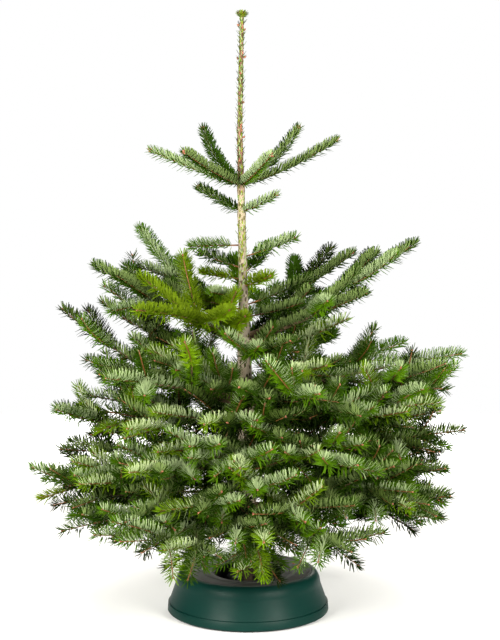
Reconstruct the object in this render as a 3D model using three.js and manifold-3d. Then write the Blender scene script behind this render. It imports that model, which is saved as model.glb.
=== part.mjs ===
// A freshly cut fir, about 1.55 m tall with its stand: a whole trunk, whorls of main boughs, the masses of
// foliage that they carry, and a round moulded stand with a water well and four clamping claws.
//
// Millimetres, +Z up. The origin is the centre of the stand's flat underside. An azimuth is in degrees from
// +X towards +Y, so -90 faces the front.

import * as THREE from 'three';
import { mergeVertices } from 'three/addons/utils/BufferGeometryUtils.js';
import loadManifold from 'manifold-3d';

const wasm = await loadManifold();
wasm.setup();

// ---------------------------------------------------------------- driving dimensions

const CLEARANCE = 0.3; // between pieces that touch
const TREE_TOP = 1548;
const TRUNK_FOOT = 14.3; // the saw cut, on the boss in the stand's well

// Diameter and sideways bow of the trunk, wherever its taper changes.
const TRUNK = [
  { z: TRUNK_FOOT, diameter: 54, bow: 0 },
  { z: 110, diameter: 52, bow: -1 },
  { z: 360, diameter: 46, bow: -4 },
  { z: 560, diameter: 39, bow: -7.5 },
  { z: 700, diameter: 35, bow: -10 },
  { z: 745, diameter: 27, bow: -10.5 },
  { z: 930, diameter: 21, bow: -14 },
  { z: 1104, diameter: 17, bow: -18 },
  { z: 1245, diameter: 13, bow: -21 },
  { z: TREE_TOP, diameter: 9, bow: -15 },
];
const TRUNK_SIDES = 10;
const TRUNK_STEPS = 20;

// The top whorl and the neck below it carry single shoots, which are all foliage.
// Each one is given by its azimuth, its reach from the trunk's centre and the height of its tip.
const SHOOT_WIDTH = 27; // half of the brush of needles
const SHOOT_DEPTH = 23;
const SHOOT_START = 22; // where the needles begin, from the trunk's centre
const SHOOT_GROUPS = {
  top: {
    z: 1104,
    rise: 18,
    shoots: {
      left: { azimuth: 180, reach: 261, tip: 1203 },
      front_left: { azimuth: -128, reach: 259, tip: 1200 },
      front_right: { azimuth: -68, reach: 163, tip: 1194 },
      right: { azimuth: -8, reach: 234, tip: 1230 },
      back_right: { azimuth: 43, reach: 190, tip: 1266 },
      back_left: { azimuth: 119, reach: 253, tip: 1262 },
    },
  },
  neck: {
    z: 1036,
    rise: 24,
    shoots: {
      left: { azimuth: 150, reach: 160, tip: 1110 },
      right: { azimuth: -30, reach: 95, tip: 1093 },
    },
  },
};

// The four tiers of branching boughs. rise is the angle of a bough at the trunk, root its diameter there and
// bare the share of it before its foliage. width is the foliage's half-width as a share of the reach, and
// depth its half-thickness.
const TIERS = {
  upper: {
    z: 709,
    rise: 22,
    root: 16,
    bare: 0.22,
    width: 0.32,
    depth: 56,
    boughs: {
      right: { azimuth: 10, reach: 454, tip: 964 },
      back_right: { azimuth: 54, reach: 400, tip: 936 },
      back_left: { azimuth: 133, reach: 446, tip: 990 },
      left: { azimuth: 178, reach: 406, tip: 912 },
      front_left: { azimuth: -135, reach: 390, tip: 819 },
      front_right: { azimuth: -34, reach: 362, tip: 857 },
    },
  },
  middle: {
    z: 549,
    rise: 14,
    root: 15,
    bare: 0.18,
    width: 0.36,
    depth: 66,
    boughs: {
      right: { azimuth: 2, reach: 566, tip: 676 },
      back_right: { azimuth: 38, reach: 560, tip: 665 },
      back_left: { azimuth: 125, reach: 520, tip: 740 },
      left: { azimuth: 178, reach: 490, tip: 800 },
      front_left: { azimuth: -138, reach: 470, tip: 660 },
      front_right: { azimuth: -68, reach: 460, tip: 640 },
    },
  },
  lower: {
    z: 392,
    rise: 8,
    root: 17,
    bare: 0.17,
    width: 0.4,
    depth: 66,
    boughs: {
      right: { azimuth: -3, reach: 568, tip: 484 },
      back: { azimuth: 84, reach: 560, tip: 520 },
      left: { azimuth: 171, reach: 520, tip: 530 },
      front_left: { azimuth: -125, reach: 500, tip: 450 },
      front_right: { azimuth: -58, reach: 500, tip: 470 },
    },
  },
  bottom: {
    z: 272,
    rise: 2,
    root: 18,
    bare: 0.17,
    width: 0.38,
    depth: 62,
    boughs: {
      right: { azimuth: -15, reach: 540, tip: 335 },
      back_right: { azimuth: 44, reach: 560, tip: 350 },
      back_left: { azimuth: 128, reach: 560, tip: 350 },
      left: { azimuth: -172, reach: 568, tip: 400 },
      front_left: { azimuth: -120, reach: 510, tip: 262 },
      front_right: { azimuth: -60, reach: 500, tip: 262 },
    },
  },
};
const WHORL_STAGGER = 9; // boughs of one whorl sit a little above and below each other
const BOUGH_OVERRUN = 14; // how far a bough's end reaches into its foliage
const BOUGH_TAPER = 0.72;
const BOUGH_SIDES = 6;
const BOUGH_STEPS = 3;

const MASS_SIDES = 8;
const MASS_RINGS = 7;
const LUMP = 0.16; // unevenness of a mass, as a share of its width

// Stand: a green moulded shell, a dished top plate, a water well with its claws, and a base with feet.
const SHELL_RADIUS = 210;
const SHELL_RIM = { low: 4.5, high: 9 };
const SHELL_CONE_TOP = { radius: 189, z: 75 };
const SHELL_TOP = { radius: 166.3, z: 108 };
const SHELL_SHOULDER_BULGE = 8; // how far the rounded shoulder stands out of its chord
const SHELL_WALL = 4;
const SHELL_LEDGE = 6;
const PLATE_RADIUS = 166;
const PLATE_EDGE = 109;
const PLATE_THICK = 4;
const PLATE_DISH = 5;
const PLATE_RIDGE = { radius: 114, width: 5, height: 2.5 };
const WELL_MOUTH = 92;
const WELL_WALL = 4;
const WELL_FLOOR = 6;
const WELL_TOP = 99;
const BOSS = { radius: 31, top: TRUNK_FOOT - CLEARANCE };
const BASE = { radius: 205, low: 2.2, high: 6.2 };
const PAD = { width: 28, length: 16, count: 6, radius: 194 };
const CLAW_COUNT = 4;
const CLAW_TURN = 45; // azimuth of the first claw
const CLAW_WIDTH = 16;
const CLAMP_RING = { inner: 79, outer: 86, low: 52, high: 64 };
const CLAW_GRIP = { low: 84, high: 97 }; // where a claw's toe presses on the trunk
const STAND_SIDES = 32;

// ---------------------------------------------------------------- colours

const COLOURS = {
  bark: 0x8a7a62,
  bough: 0x7a6248,
  foliage: 0x466b3a,
  shell: 0x12463a,
  plate: 0x3c3e3d,
  well: 0x191b1b,
  clamp: 0x24272a,
  base: 0x161818,
};

// ---------------------------------------------------------------- helpers

const radians = THREE.MathUtils.degToRad;
const polar = (radius, azimuth, z) => {
  const a = radians(azimuth);
  return new THREE.Vector3(radius * Math.cos(a), radius * Math.sin(a), z);
};

// A closed geometry as a solid that can be joined and cut.
function toSolid(geometry) {
  const bare = geometry.clone();
  bare.deleteAttribute('normal');
  bare.deleteAttribute('uv');
  const merged = mergeVertices(bare, 1e-3);
  return new wasm.Manifold(new wasm.Mesh({
    numProp: 3,
    vertProperties: new Float32Array(merged.attributes.position.array),
    triVerts: new Uint32Array(merged.index.array),
  }));
}

// The largest body of a solid, as a geometry.
function toGeometry(solid) {
  const bodies = solid.decompose().sort((a, b) => b.volume() - a.volume());
  const mesh = bodies[0].getMesh();
  const geometry = new THREE.BufferGeometry();
  geometry.setAttribute('position', new THREE.BufferAttribute(new Float32Array(mesh.vertProperties), 3));
  geometry.setIndex(new THREE.BufferAttribute(new Uint32Array(mesh.triVerts), 1));
  geometry.computeVertexNormals();
  return geometry;
}

function paint(colour, roughness = 0.8) {
  return new THREE.MeshStandardMaterial({ color: colour, roughness, metalness: 0 });
}

const tree = new THREE.Group();
function add(name, geometry, material) {
  const mesh = new THREE.Mesh(geometry, material);
  mesh.name = name;
  tree.add(mesh);
}

// Pieces are fitted in order: each new one is cut round the slightly grown bodies of those before it.
const placed = [];
function boxesMeet(a, b) {
  return a.min.every((low, i) => low < b.max[i]) && b.min.every((low, i) => low < a.max[i]);
}
function fit(name, solid, grown, material) {
  const box = solid.boundingBox();
  let cut = solid;
  for (const other of placed) {
    if (boxesMeet(box, other.box)) cut = cut.subtract(other.grown);
  }
  placed.push({ grown, box: grown.boundingBox() });
  add(name, toGeometry(cut), material);
}

// ---------------------------------------------------------------- trunk

// Radius and centre of the trunk at a height, straight between its stations.
function trunkAt(z) {
  const last = TRUNK.length - 1;
  let i = TRUNK.findIndex((station) => station.z >= z);
  if (i < 0) i = last;
  i = Math.max(i, 1);
  const [low, high] = [TRUNK[i - 1], TRUNK[i]];
  const share = THREE.MathUtils.clamp((z - low.z) / (high.z - low.z), 0, 1);
  const mix = (key) => THREE.MathUtils.lerp(low[key], high[key], share);
  return { radius: mix('diameter') / 2, x: mix('bow') };
}

function trunkGeometry(grow) {
  const height = TREE_TOP - TRUNK_FOOT;
  const geometry = new THREE.CylinderGeometry(1, 1, 1, TRUNK_SIDES, TRUNK_STEPS);
  geometry.rotateX(Math.PI / 2);
  const point = new THREE.Vector3();
  const position = geometry.attributes.position;
  for (let i = 0; i < position.count; i += 1) {
    point.fromBufferAttribute(position, i);
    const share = point.z + 0.5;
    const z = TRUNK_FOOT + share * height;
    const { radius, x } = trunkAt(z);
    const end = share < 1e-6 ? -grow : grow * (share > 1 - 1e-6);
    position.setXYZ(i, x + point.x * (radius + grow), point.y * (radius + grow), z + end);
  }
  return geometry;
}

// ---------------------------------------------------------------- limbs and masses

// The line of a limb: it leaves the trunk's centre at its rise angle and bends evenly to its tip.
function limbLine({ azimuth, reach, tip }, rootZ, rise) {
  const root = polar(0, 0, rootZ).setX(trunkAt(rootZ).x);
  const end = polar(reach, azimuth, tip);
  const outward = polar(1, azimuth, Math.tan(radians(rise))).multiplyScalar(reach * 0.55);
  return new THREE.QuadraticBezierCurve3(root, root.clone().add(outward), end);
}

// Bends a geometry that stands along +Z, between 0 and 1, to follow a line from share to share.
// size gives the half-width and half-depth there, and the section's own x and y are scaled by them.
function bendAlong(geometry, line, from, to, size) {
  const position = geometry.attributes.position;
  const point = new THREE.Vector3();
  const up = new THREE.Vector3(0, 0, 1);
  for (let i = 0; i < position.count; i += 1) {
    point.fromBufferAttribute(position, i);
    const share = THREE.MathUtils.lerp(from, to, point.z);
    const centre = line.getPoint(THREE.MathUtils.clamp(share, 0, 1));
    const tangent = line.getTangent(THREE.MathUtils.clamp(share, 0, 1));
    const side = new THREE.Vector3().crossVectors(up, tangent).normalize();
    const over = new THREE.Vector3().crossVectors(tangent, side);
    const { width, depth, along } = size(point);
    centre.addScaledVector(side, point.x * width).addScaledVector(over, point.y * depth);
    centre.addScaledVector(tangent, along);
    position.setXYZ(i, centre.x, centre.y, centre.z);
  }
  return geometry;
}

// One tapering limb, from inside the trunk to a little way into its foliage.
function limbGeometry(line, to, rootRadius, grow) {
  const geometry = new THREE.CylinderGeometry(1, 1, 1, BOUGH_SIDES, BOUGH_STEPS);
  geometry.rotateX(Math.PI / 2).translate(0, 0, 0.5);
  return bendAlong(geometry, line, 0, to, (point) => {
    const radius = rootRadius * THREE.MathUtils.lerp(1, BOUGH_TAPER, point.z) + grow;
    const along = point.z > 1 - 1e-6 ? grow : 0;
    return { width: radius, depth: radius, along };
  });
}

// One uneven mass: blunt where the limb enters it, widest past the middle, narrow at its tip.
function massGeometry(line, from, width, depth, seed, grow) {
  const geometry = new THREE.SphereGeometry(1, MASS_SIDES, MASS_RINGS);
  geometry.rotateX(Math.PI / 2);
  const position = geometry.attributes.position;
  const point = new THREE.Vector3();
  for (let i = 0; i < position.count; i += 1) {
    point.fromBufferAttribute(position, i);
    const ring = Math.acos(THREE.MathUtils.clamp(-point.z, -1, 1)) / Math.PI;
    const turn = Math.atan2(point.y, point.x);
    const girth = Math.sin(Math.PI * ring ** 1.12) ** 0.8;
    const lump = 1 + LUMP * Math.sin(3 * turn + seed) * Math.cos(5 * ring + 2 * seed);
    const isPole = ring < 1e-6 || ring > 1 - 1e-6;
    const radius = isPole ? 0 : girth * lump;
    position.setXYZ(i, radius * Math.cos(turn), radius * Math.sin(turn), ring);
  }
  return bendAlong(geometry, line, from, 1, (section) => {
    const end = section.z < 1e-6 ? -grow : grow * (section.z > 1 - 1e-6);
    return { width: width + grow / 0.6, depth: depth + grow / 0.6, along: end };
  });
}

// ---------------------------------------------------------------- build: tree

const GROW = 0.8; // keeps well over the clearance between faceted neighbours

const bark = paint(COLOURS.bark, 0.9);
const boughBark = paint(COLOURS.bough, 0.85);
const foliage = paint(COLOURS.foliage, 0.7);

fit('trunk', toSolid(trunkGeometry(0)), toSolid(trunkGeometry(CLEARANCE)), bark);

const masses = [];
for (const [group, { z, rise, shoots }] of Object.entries(SHOOT_GROUPS)) {
  for (const [side, shoot] of Object.entries(shoots)) {
    const line = limbLine(shoot, z, rise);
    masses.push({
      name: `foliage_${group}_${side}`,
      line,
      from: SHOOT_START / line.getLength(),
      width: SHOOT_WIDTH,
      depth: SHOOT_DEPTH,
    });
  }
}

for (const [tier, { z, rise, root, bare, width, depth, boughs }] of Object.entries(TIERS)) {
  Object.entries(boughs).forEach(([side, bough], index) => {
    const stagger = WHORL_STAGGER * (index % 2 === 0 ? 1 : -1);
    const line = limbLine(bough, z + stagger, rise);
    const end = bare + BOUGH_OVERRUN / line.getLength();
    const limb = (grow) => toSolid(limbGeometry(line, end, root / 2, grow));
    fit(`bough_${tier}_${side}`, limb(0), limb(GROW), boughBark);
    masses.push({
      name: `foliage_${tier}_${side}`,
      line,
      from: bare,
      width: width * bough.reach,
      depth,
    });
  });
}

masses.forEach(({ name, line, from, width, depth }, index) => {
  const mass = (grow) => toSolid(massGeometry(line, from, width, depth, index * 1.7, grow));
  fit(name, mass(0), mass(GROW), foliage);
});

// ---------------------------------------------------------------- build: stand

// A closed ring turned about Z from [radius, height] points, listed anticlockwise.
function turned(points) {
  const outline = [...points, points[0]].map(([radius, z]) => new THREE.Vector2(radius, z));
  const geometry = new THREE.LatheGeometry(outline, STAND_SIDES);
  return geometry.rotateX(Math.PI / 2);
}

// The shell's outer line: a short upright rim, a straight cone and a rounded shoulder.
function shellLine(inset) {
  const steps = 3;
  const points = [
    [SHELL_RADIUS - inset, SHELL_RIM.low],
    [SHELL_RADIUS - inset, SHELL_RIM.high],
  ];
  for (let i = 0; i <= steps; i += 1) {
    const share = i / steps;
    const bulge = SHELL_SHOULDER_BULGE * Math.sin(Math.PI * share);
    points.push([
      THREE.MathUtils.lerp(SHELL_CONE_TOP.radius, SHELL_TOP.radius, share) + bulge * 0.8 - inset,
      THREE.MathUtils.lerp(SHELL_CONE_TOP.z, SHELL_TOP.z, share) + bulge * 0.6 - inset * share * 0.8,
    ]);
  }
  return points;
}

// The shell hangs open below, and its lip holds the top plate on an inner ledge.
function shellGeometry() {
  const seat = PLATE_EDGE - PLATE_THICK - CLEARANCE;
  const ledge = [
    [SHELL_TOP.radius, seat],
    [SHELL_TOP.radius - SHELL_LEDGE, seat],
    [SHELL_TOP.radius - SHELL_LEDGE, seat - SHELL_WALL],
  ];
  const inner = shellLine(SHELL_WALL).slice(0, -1).reverse();
  return turned([...shellLine(0), ...ledge, ...inner]);
}

// The top plate sinks towards the well, with a raised ridge round its middle.
function plateGeometry() {
  const span = PLATE_RADIUS - WELL_MOUTH;
  const top = (radius) => PLATE_EDGE - PLATE_DISH * Math.min(1, ((PLATE_RADIUS - radius) / span) * 2);
  const { radius, width, height } = PLATE_RIDGE;
  const upper = [
    [PLATE_RADIUS, PLATE_EDGE - 1.5],
    [PLATE_RADIUS - 1.5, PLATE_EDGE],
    [radius + width, top(radius + width)],
    [radius + width / 2, top(radius) + height],
    [radius - width / 2, top(radius) + height],
    [radius - width, top(radius - width)],
    [WELL_MOUTH + 2, top(WELL_MOUTH)],
    [WELL_MOUTH, top(WELL_MOUTH) - 1.5],
  ];
  const lower = [
    [WELL_MOUTH, top(WELL_MOUTH) - PLATE_THICK],
    [radius, top(radius) - PLATE_THICK],
    [PLATE_RADIUS - SHELL_LEDGE - 2, PLATE_EDGE - PLATE_THICK],
    [PLATE_RADIUS, PLATE_EDGE - PLATE_THICK],
  ];
  return turned([...upper, ...lower]);
}

// The well is a deep cup with a flat underside and a boss in its floor that carries the trunk.
function wellGeometry() {
  const outer = WELL_MOUTH - CLEARANCE;
  const inner = WELL_MOUTH - WELL_WALL;
  const outline = [
    [0, 0], [outer, 0], [outer, WELL_TOP], [inner, WELL_TOP], [inner, WELL_FLOOR],
    [BOSS.radius + 3, WELL_FLOOR], [BOSS.radius, BOSS.top], [0, BOSS.top],
  ].map(([radius, z]) => new THREE.Vector2(radius, z));
  return new THREE.LatheGeometry(outline, STAND_SIDES).rotateX(Math.PI / 2);
}

// One claw: a bent arm that stands on the clamp ring and presses its toe on the trunk.
function clawGeometry(azimuth) {
  const { radius, x } = trunkAt((CLAW_GRIP.low + CLAW_GRIP.high) / 2);
  const toe = radius + Math.abs(x) + 0.6;
  const ring = CLAMP_RING;
  const outline = new THREE.Shape([
    [ring.outer - 1, ring.low + 2], [ring.outer - 1, ring.high + 6], [toe + 22, CLAW_GRIP.high],
    [toe, CLAW_GRIP.high], [toe, CLAW_GRIP.low], [toe + 18, CLAW_GRIP.low - 2],
    [ring.inner - 1, ring.low + 2],
  ].map(([r, z]) => new THREE.Vector2(r, z)));
  const geometry = new THREE.ExtrudeGeometry(outline, { depth: CLAW_WIDTH, bevelEnabled: false });
  geometry.translate(0, 0, -CLAW_WIDTH / 2).rotateX(Math.PI / 2);
  return geometry.rotateZ(radians(azimuth));
}

function clampSolid() {
  const { inner, outer, low, high } = CLAMP_RING;
  let clamp = toSolid(turned([[inner, low], [outer, low], [outer, high], [inner, high]]));
  for (let i = 0; i < CLAW_COUNT; i += 1) {
    clamp = clamp.add(toSolid(clawGeometry(CLAW_TURN + (i * 360) / CLAW_COUNT)));
  }
  return clamp;
}

// The base closes the stand between shell and well, and stands on small feet.
function baseSolid() {
  const inner = WELL_MOUTH + CLEARANCE;
  let base = toSolid(turned([
    [inner, BASE.low], [BASE.radius, BASE.low], [BASE.radius, BASE.high], [inner, BASE.high],
  ]));
  for (let i = 0; i < PAD.count; i += 1) {
    const pad = new THREE.BoxGeometry(PAD.length, PAD.width, BASE.low + 1);
    pad.translate(PAD.radius - PAD.length / 2 + 8, 0, (BASE.low + 1) / 2);
    pad.rotateZ(radians(-90 + (i * 360) / PAD.count));
    base = base.add(toSolid(pad));
  }
  return base;
}

add('stand_shell', shellGeometry(), paint(COLOURS.shell, 0.45));
add('stand_top_plate', plateGeometry(), paint(COLOURS.plate, 0.6));
add('stand_well', wellGeometry(), paint(COLOURS.well, 0.7));
add('stand_clamp', toGeometry(clampSolid()), paint(COLOURS.clamp, 0.5));
add('stand_base', toGeometry(baseSolid()), paint(COLOURS.base, 0.7));

export default tree;
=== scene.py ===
"""Looks of a cut fir in its water stand: bark, twigs, needles and buds grown along the frame's limbs.

Every length is in metres in the frame's own axes, +Z up and -Y to the front. The trunk, the limbs and the
outline of the foliage are read from the frame's nodes. A seeded branching rule then grows yearly shoots along
each limb, and needles, twigs and buds are set on the shoots as whole arrays.
"""

import logging
import math
from dataclasses import astuple, dataclass, field, replace
from enum import Enum

import bpy
import numpy as np
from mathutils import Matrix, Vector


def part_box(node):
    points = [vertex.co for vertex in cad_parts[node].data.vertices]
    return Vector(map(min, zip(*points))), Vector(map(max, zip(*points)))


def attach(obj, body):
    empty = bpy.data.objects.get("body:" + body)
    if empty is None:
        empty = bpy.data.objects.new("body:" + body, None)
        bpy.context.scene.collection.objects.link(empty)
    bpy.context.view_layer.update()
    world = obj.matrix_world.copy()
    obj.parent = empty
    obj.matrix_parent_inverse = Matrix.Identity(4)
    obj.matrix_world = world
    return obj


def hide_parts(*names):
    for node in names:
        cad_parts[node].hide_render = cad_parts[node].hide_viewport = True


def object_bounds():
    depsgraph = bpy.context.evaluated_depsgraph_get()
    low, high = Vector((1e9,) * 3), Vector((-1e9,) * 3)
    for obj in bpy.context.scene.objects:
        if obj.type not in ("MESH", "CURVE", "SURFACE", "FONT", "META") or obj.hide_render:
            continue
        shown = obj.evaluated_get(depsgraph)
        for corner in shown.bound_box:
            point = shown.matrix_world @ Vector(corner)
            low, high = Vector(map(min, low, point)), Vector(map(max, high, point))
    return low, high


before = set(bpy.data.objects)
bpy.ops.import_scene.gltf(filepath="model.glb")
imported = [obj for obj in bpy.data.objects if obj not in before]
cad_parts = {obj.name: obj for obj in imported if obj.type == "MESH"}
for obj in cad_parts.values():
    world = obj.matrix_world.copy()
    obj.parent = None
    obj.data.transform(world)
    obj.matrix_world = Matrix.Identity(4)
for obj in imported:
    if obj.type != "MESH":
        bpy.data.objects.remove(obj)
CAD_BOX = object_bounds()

LOG = logging.getLogger("fir")
BODY = "root"
MM = 0.001
TINY = 1e-12             # keeps a division by zero away
UP = np.array([0.0, 0.0, 1.0])
STEEP = 0.96             # rise or fall of a unit direction past which it counts as upright
BOX_LOW, BOX_HIGH = (np.array(corner) for corner in CAD_BOX)
PIECE_LIMIT = 190_000    # triangles in one joined piece
LOWEST = 185 * MM        # height down to which shoots hang, where the tree was trimmed to clear its stand
ROOM_LOW, ROOM_HIGH = np.array([*BOX_LOW[:2], LOWEST]), BOX_HIGH    # corners of the room that shoots may fill

Array = np.ndarray
Mesh = tuple[Array, Array, Array]    # points, triangles, and the material slot of each triangle
Material = bpy.types.Material
Node = bpy.types.Node
Piece = bpy.types.Object
Socket = bpy.types.NodeSocket
Tree = bpy.types.NodeTree


# ---------------------------------------------------------------- numbers and vectors

def linear(hex_colour: str) -> tuple[float, float, float, float]:
    """Turns an sRGB hex colour into the linear colour that shaders take.

    A channel is divided by 12.92 where it is dark, and elsewhere raised to the power 2.4 after a small shift.

    Args:
        hex_colour: six hex digits, with or without a leading hash.

    Returns:
        Linear red, green, blue and an alpha of one.
    """
    digits = hex_colour.lstrip("#")
    channels = [int(digits[i:i + 2], 16) / 255 for i in (0, 2, 4)]
    curve = [c / 12.92 if c <= 0.04045 else ((c + 0.055) / 1.055) ** 2.4 for c in channels]
    return (curve[0], curve[1], curve[2], 1.0)


def unit(vectors: Array) -> Array:
    """Returns vectors scaled to length one along their last axis."""
    return vectors / np.maximum(np.linalg.norm(vectors, axis=-1, keepdims=True), TINY)


def upright(tangents: Array) -> tuple[Array, Array]:
    """Gives each direction a section frame whose first axis leans as far up as it can.

    An upright direction has no such axis, so its first axis leans to the back instead.

    Args:
        tangents: unit directions, shape (n, 3).

    Returns:
        The upward axis and the sideways axis, both square to the direction.
    """
    hint = np.where(np.abs(tangents[:, 2:3]) > STEEP, np.array([0.0, 1.0, 0.0]), UP)
    over = unit(hint - np.sum(hint * tangents, axis=1, keepdims=True) * tangents)
    return over, np.cross(tangents, over)


def bezier(start: Array, control: Array, end: Array, share: Array) -> Array:
    """Finds points on quadratic curves.

    A point weighs the start by (1 - t) squared, the control point by 2t(1 - t) and the end by t squared.

    Args:
        start: where each curve starts.
        control: where the tangents of its two ends meet.
        end: where it ends.
        share: how far along it each point lies, from 0 to 1.

    Returns:
        The points.
    """
    share = np.asarray(share)[..., None]
    return (1 - share) ** 2 * start + 2 * share * (1 - share) * control + share ** 2 * end


def bezier_tangent(start: Array, control: Array, end: Array, share: Array) -> Array:
    """Finds the directions of quadratic curves.

    A direction weighs the way to the control point by (1 - t) and the way on to the end by t.

    Args:
        start: where each curve starts.
        control: where the tangents of its two ends meet.
        end: where it ends.
        share: how far along it each direction is wanted, from 0 to 1.

    Returns:
        The unit directions.
    """
    share = np.asarray(share)[..., None]
    return unit((1 - share) * (control - start) + share * (end - control))


def turns(count: int) -> Array:
    """Returns that many angles, evenly spaced round a circle."""
    return np.arange(count) * 2 * np.pi / count


def swelling(spots: Array, middle: float, reach: float | Array) -> Array:
    """Returns a bell over the spots, which is 1 at its middle and fades on both sides over its reach."""
    return np.exp(-((spots - middle) / reach) ** 2)


# ---------------------------------------------------------------- meshes and nodes

def make_piece(name: str, points: Array, triangles: Array, finishes: list[Material],
               slots: Array | None = None, smooth_shaded: bool = True) -> Piece:
    """Puts arrays into a mesh object that stands at the origin.

    Args:
        name: the piece's name.
        points: vertex places, shape (n, 3).
        triangles: vertex indices, shape (m, 3), anticlockwise from outside.
        finishes: the materials, in slot order.
        slots: the material slot of each triangle, or None for the first.
        smooth_shaded: whether the faces are shaded smooth.

    Returns:
        The linked object.
    """
    mesh = bpy.data.meshes.new(name)
    mesh.vertices.add(len(points))
    mesh.vertices.foreach_set("co", np.ascontiguousarray(points, dtype=np.float32).ravel())
    mesh.loops.add(triangles.size)
    mesh.loops.foreach_set("vertex_index", np.ascontiguousarray(triangles, dtype=np.int32).ravel())
    mesh.polygons.add(len(triangles))
    mesh.polygons.foreach_set("loop_start", np.arange(0, triangles.size, 3, dtype=np.int32))
    for finish in finishes:
        mesh.materials.append(finish)
    if slots is not None:
        mesh.polygons.foreach_set("material_index", np.ascontiguousarray(slots, dtype=np.int32))
    mesh.polygons.foreach_set("use_smooth", np.full(len(triangles), smooth_shaded))
    mesh.update(calc_edges=True)
    mesh.validate()
    piece = bpy.data.objects.new(name, mesh)
    bpy.context.scene.collection.objects.link(piece)
    return piece


def place(piece: Piece, slot: str, *nodes: str) -> None:
    """Rides a piece on the tree's body, hides the nodes that it stands for, and reports it with their names.

    Args:
        piece: the piece.
        slot: not used.
        nodes: the frame's nodes that it replaces, if any.
    """
    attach(piece, BODY)
    if nodes:
        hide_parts(*nodes)
    LOG.info("%s: %d triangles, stands for %s", piece.name, len(piece.data.polygons), ", ".join(nodes) or "-")


def grid_triangles(rows: int, columns: int) -> Array:
    """Splits a grid of quads into triangles. Each row joins up with itself.

    Args:
        rows: rings of points.
        columns: points in each ring.

    Returns:
        Vertex indices, shape (m, 3).
    """
    row, column = np.arange(rows - 1)[:, None], np.arange(columns)[None, :]
    after = (column + 1) % columns
    a, b = row * columns + column, row * columns + after
    c, d = (row + 1) * columns + after, (row + 1) * columns + column
    return np.concatenate([np.stack([a, b, c], -1).reshape(-1, 3), np.stack([a, c, d], -1).reshape(-1, 3)])


def fan(centre: int, first: int, count: int, flipped: bool = False) -> Array:
    """Closes a ring of points with triangles that meet in one point.

    Args:
        centre: index of that point.
        first: index of the ring's first point.
        count: points in the ring.
        flipped: whether the triangles run round it the other way.

    Returns:
        Vertex indices, shape (count, 3).
    """
    here = first + np.arange(count)
    after = np.roll(here, -1)
    return np.stack([np.full(count, centre), *((after, here) if flipped else (here, after))], axis=1)


def copied(triangles: Array, copies: int, stride: int) -> Array:
    """Repeats a shape's triangles for copies of it, whose points follow each other.

    Args:
        triangles: the first copy's vertex indices.
        copies: how many copies there are.
        stride: points in each.

    Returns:
        Vertex indices of all the copies.
    """
    return (triangles + (np.arange(copies) * stride)[:, None, None]).reshape(-1, 3)


def joined(meshes: list[Mesh]) -> Mesh:
    """Joins meshes into one, in order.

    Args:
        meshes: the meshes.

    Returns:
        The joined mesh.
    """
    firsts = np.cumsum([0] + [len(mesh[0]) for mesh in meshes[:-1]])
    triangles = [mesh[1] + first for mesh, first in zip(meshes, firsts)]
    return (np.concatenate([mesh[0] for mesh in meshes]), np.concatenate(triangles),
            np.concatenate([mesh[2] for mesh in meshes]))


def revolved(profile: Array, sides: int) -> Array:
    """Carries a profile round the Z axis: radius times cosine, radius times sine, and height.

    Args:
        profile: points of (radius, height), shape (n, 2).
        sides: steps round the axis.

    Returns:
        Points, shape (n, sides, 3).
    """
    turn = turns(sides)
    radius, height = profile[:, :1], profile[:, 1:]
    return np.stack([radius * np.cos(turn), radius * np.sin(turn), height + 0 * turn], axis=-1)


def feed(tree: Tree, node: Node, inputs: dict[str | int, object]) -> None:
    """Links a node's inputs to the sockets that feed them, and sets the others to constant values.

    Args:
        tree: the node's tree.
        node: the node.
        inputs: input name or index to a socket or a constant value.
    """
    for key, value in inputs.items():
        if isinstance(value, Socket):
            tree.links.new(value, node.inputs[key])
        else:
            node.inputs[key].default_value = value


def add_node(tree: Tree, kind: str, inputs: dict[str | int, object] | None = None, output: str | int = 0,
             **settings: object) -> Socket:
    """Adds a shader node with its settings and links.

    Args:
        tree: the material's node tree.
        kind: the node's type name.
        inputs: input name or index to the socket that feeds it or to its constant value.
        output: name or index of the output that is wanted.
        settings: the node's own properties.

    Returns:
        That output.
    """
    node = tree.nodes.new(kind)
    for key, value in settings.items():
        setattr(node, key, value)
    feed(tree, node, inputs or {})
    return node.outputs[output]


def new_material(name: str) -> tuple[Material, Tree, Node, Socket]:
    """Starts a material.

    Args:
        name: the material's name.

    Returns:
        The material, its tree, its shader and a socket with the Object coordinates.
    """
    material = bpy.data.materials.new(name)
    material.use_nodes = True
    tree = material.node_tree
    spot = add_node(tree, "ShaderNodeTexCoord", output="Object")
    return material, tree, tree.nodes["Principled BSDF"], spot


# ---------------------------------------------------------------- finishes

@dataclass(frozen=True)
class NeedleFinish:
    """One face of a fir needle: waxy leaf skin, glossy above and matt with pale bands below.

    The colour is one plain value for each spray. Only the gloss wanders a little, because the wax is thicker
    on some needles than on others.
    """

    name: str
    colour: str
    roughness: float
    wax: float                # specular level of the leaf's skin
    patch_mm: float = 11.11   # size of the patches with thicker or thinner wax
    wander: float = 0.08      # how far the roughness wanders from one to the next

    def material(self) -> Material:
        """Makes the finish as a material.

        Returns:
            The material.
        """
        material, tree, shader, spot = new_material(self.name)
        patches = add_node(tree, "ShaderNodeTexNoise",
                           {"Vector": spot, "Scale": 1 / (self.patch_mm * MM), "Detail": 1.0}, "Fac")
        gloss = add_node(tree, "ShaderNodeMapRange",
                         {"Value": patches, "To Min": self.roughness - self.wander,
                          "To Max": self.roughness + self.wander}, "Result")
        feed(tree, shader, {"Base Color": linear(self.colour), "Roughness": gloss, "IOR": 1.45,
                            "Specular IOR Level": self.wax})
        return material


class Tint(Enum):
    """The greens that a spray can take, each with its upper and its lower face."""

    # The darkest green: drawn at random, and taken by old stretches deep in the crown, partly as painted
    # shade.
    SHADE = 0
    DEEP = 1
    LEAF = 2
    FRESH = 3
    GOLD = 4
    LIME = 5


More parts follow.
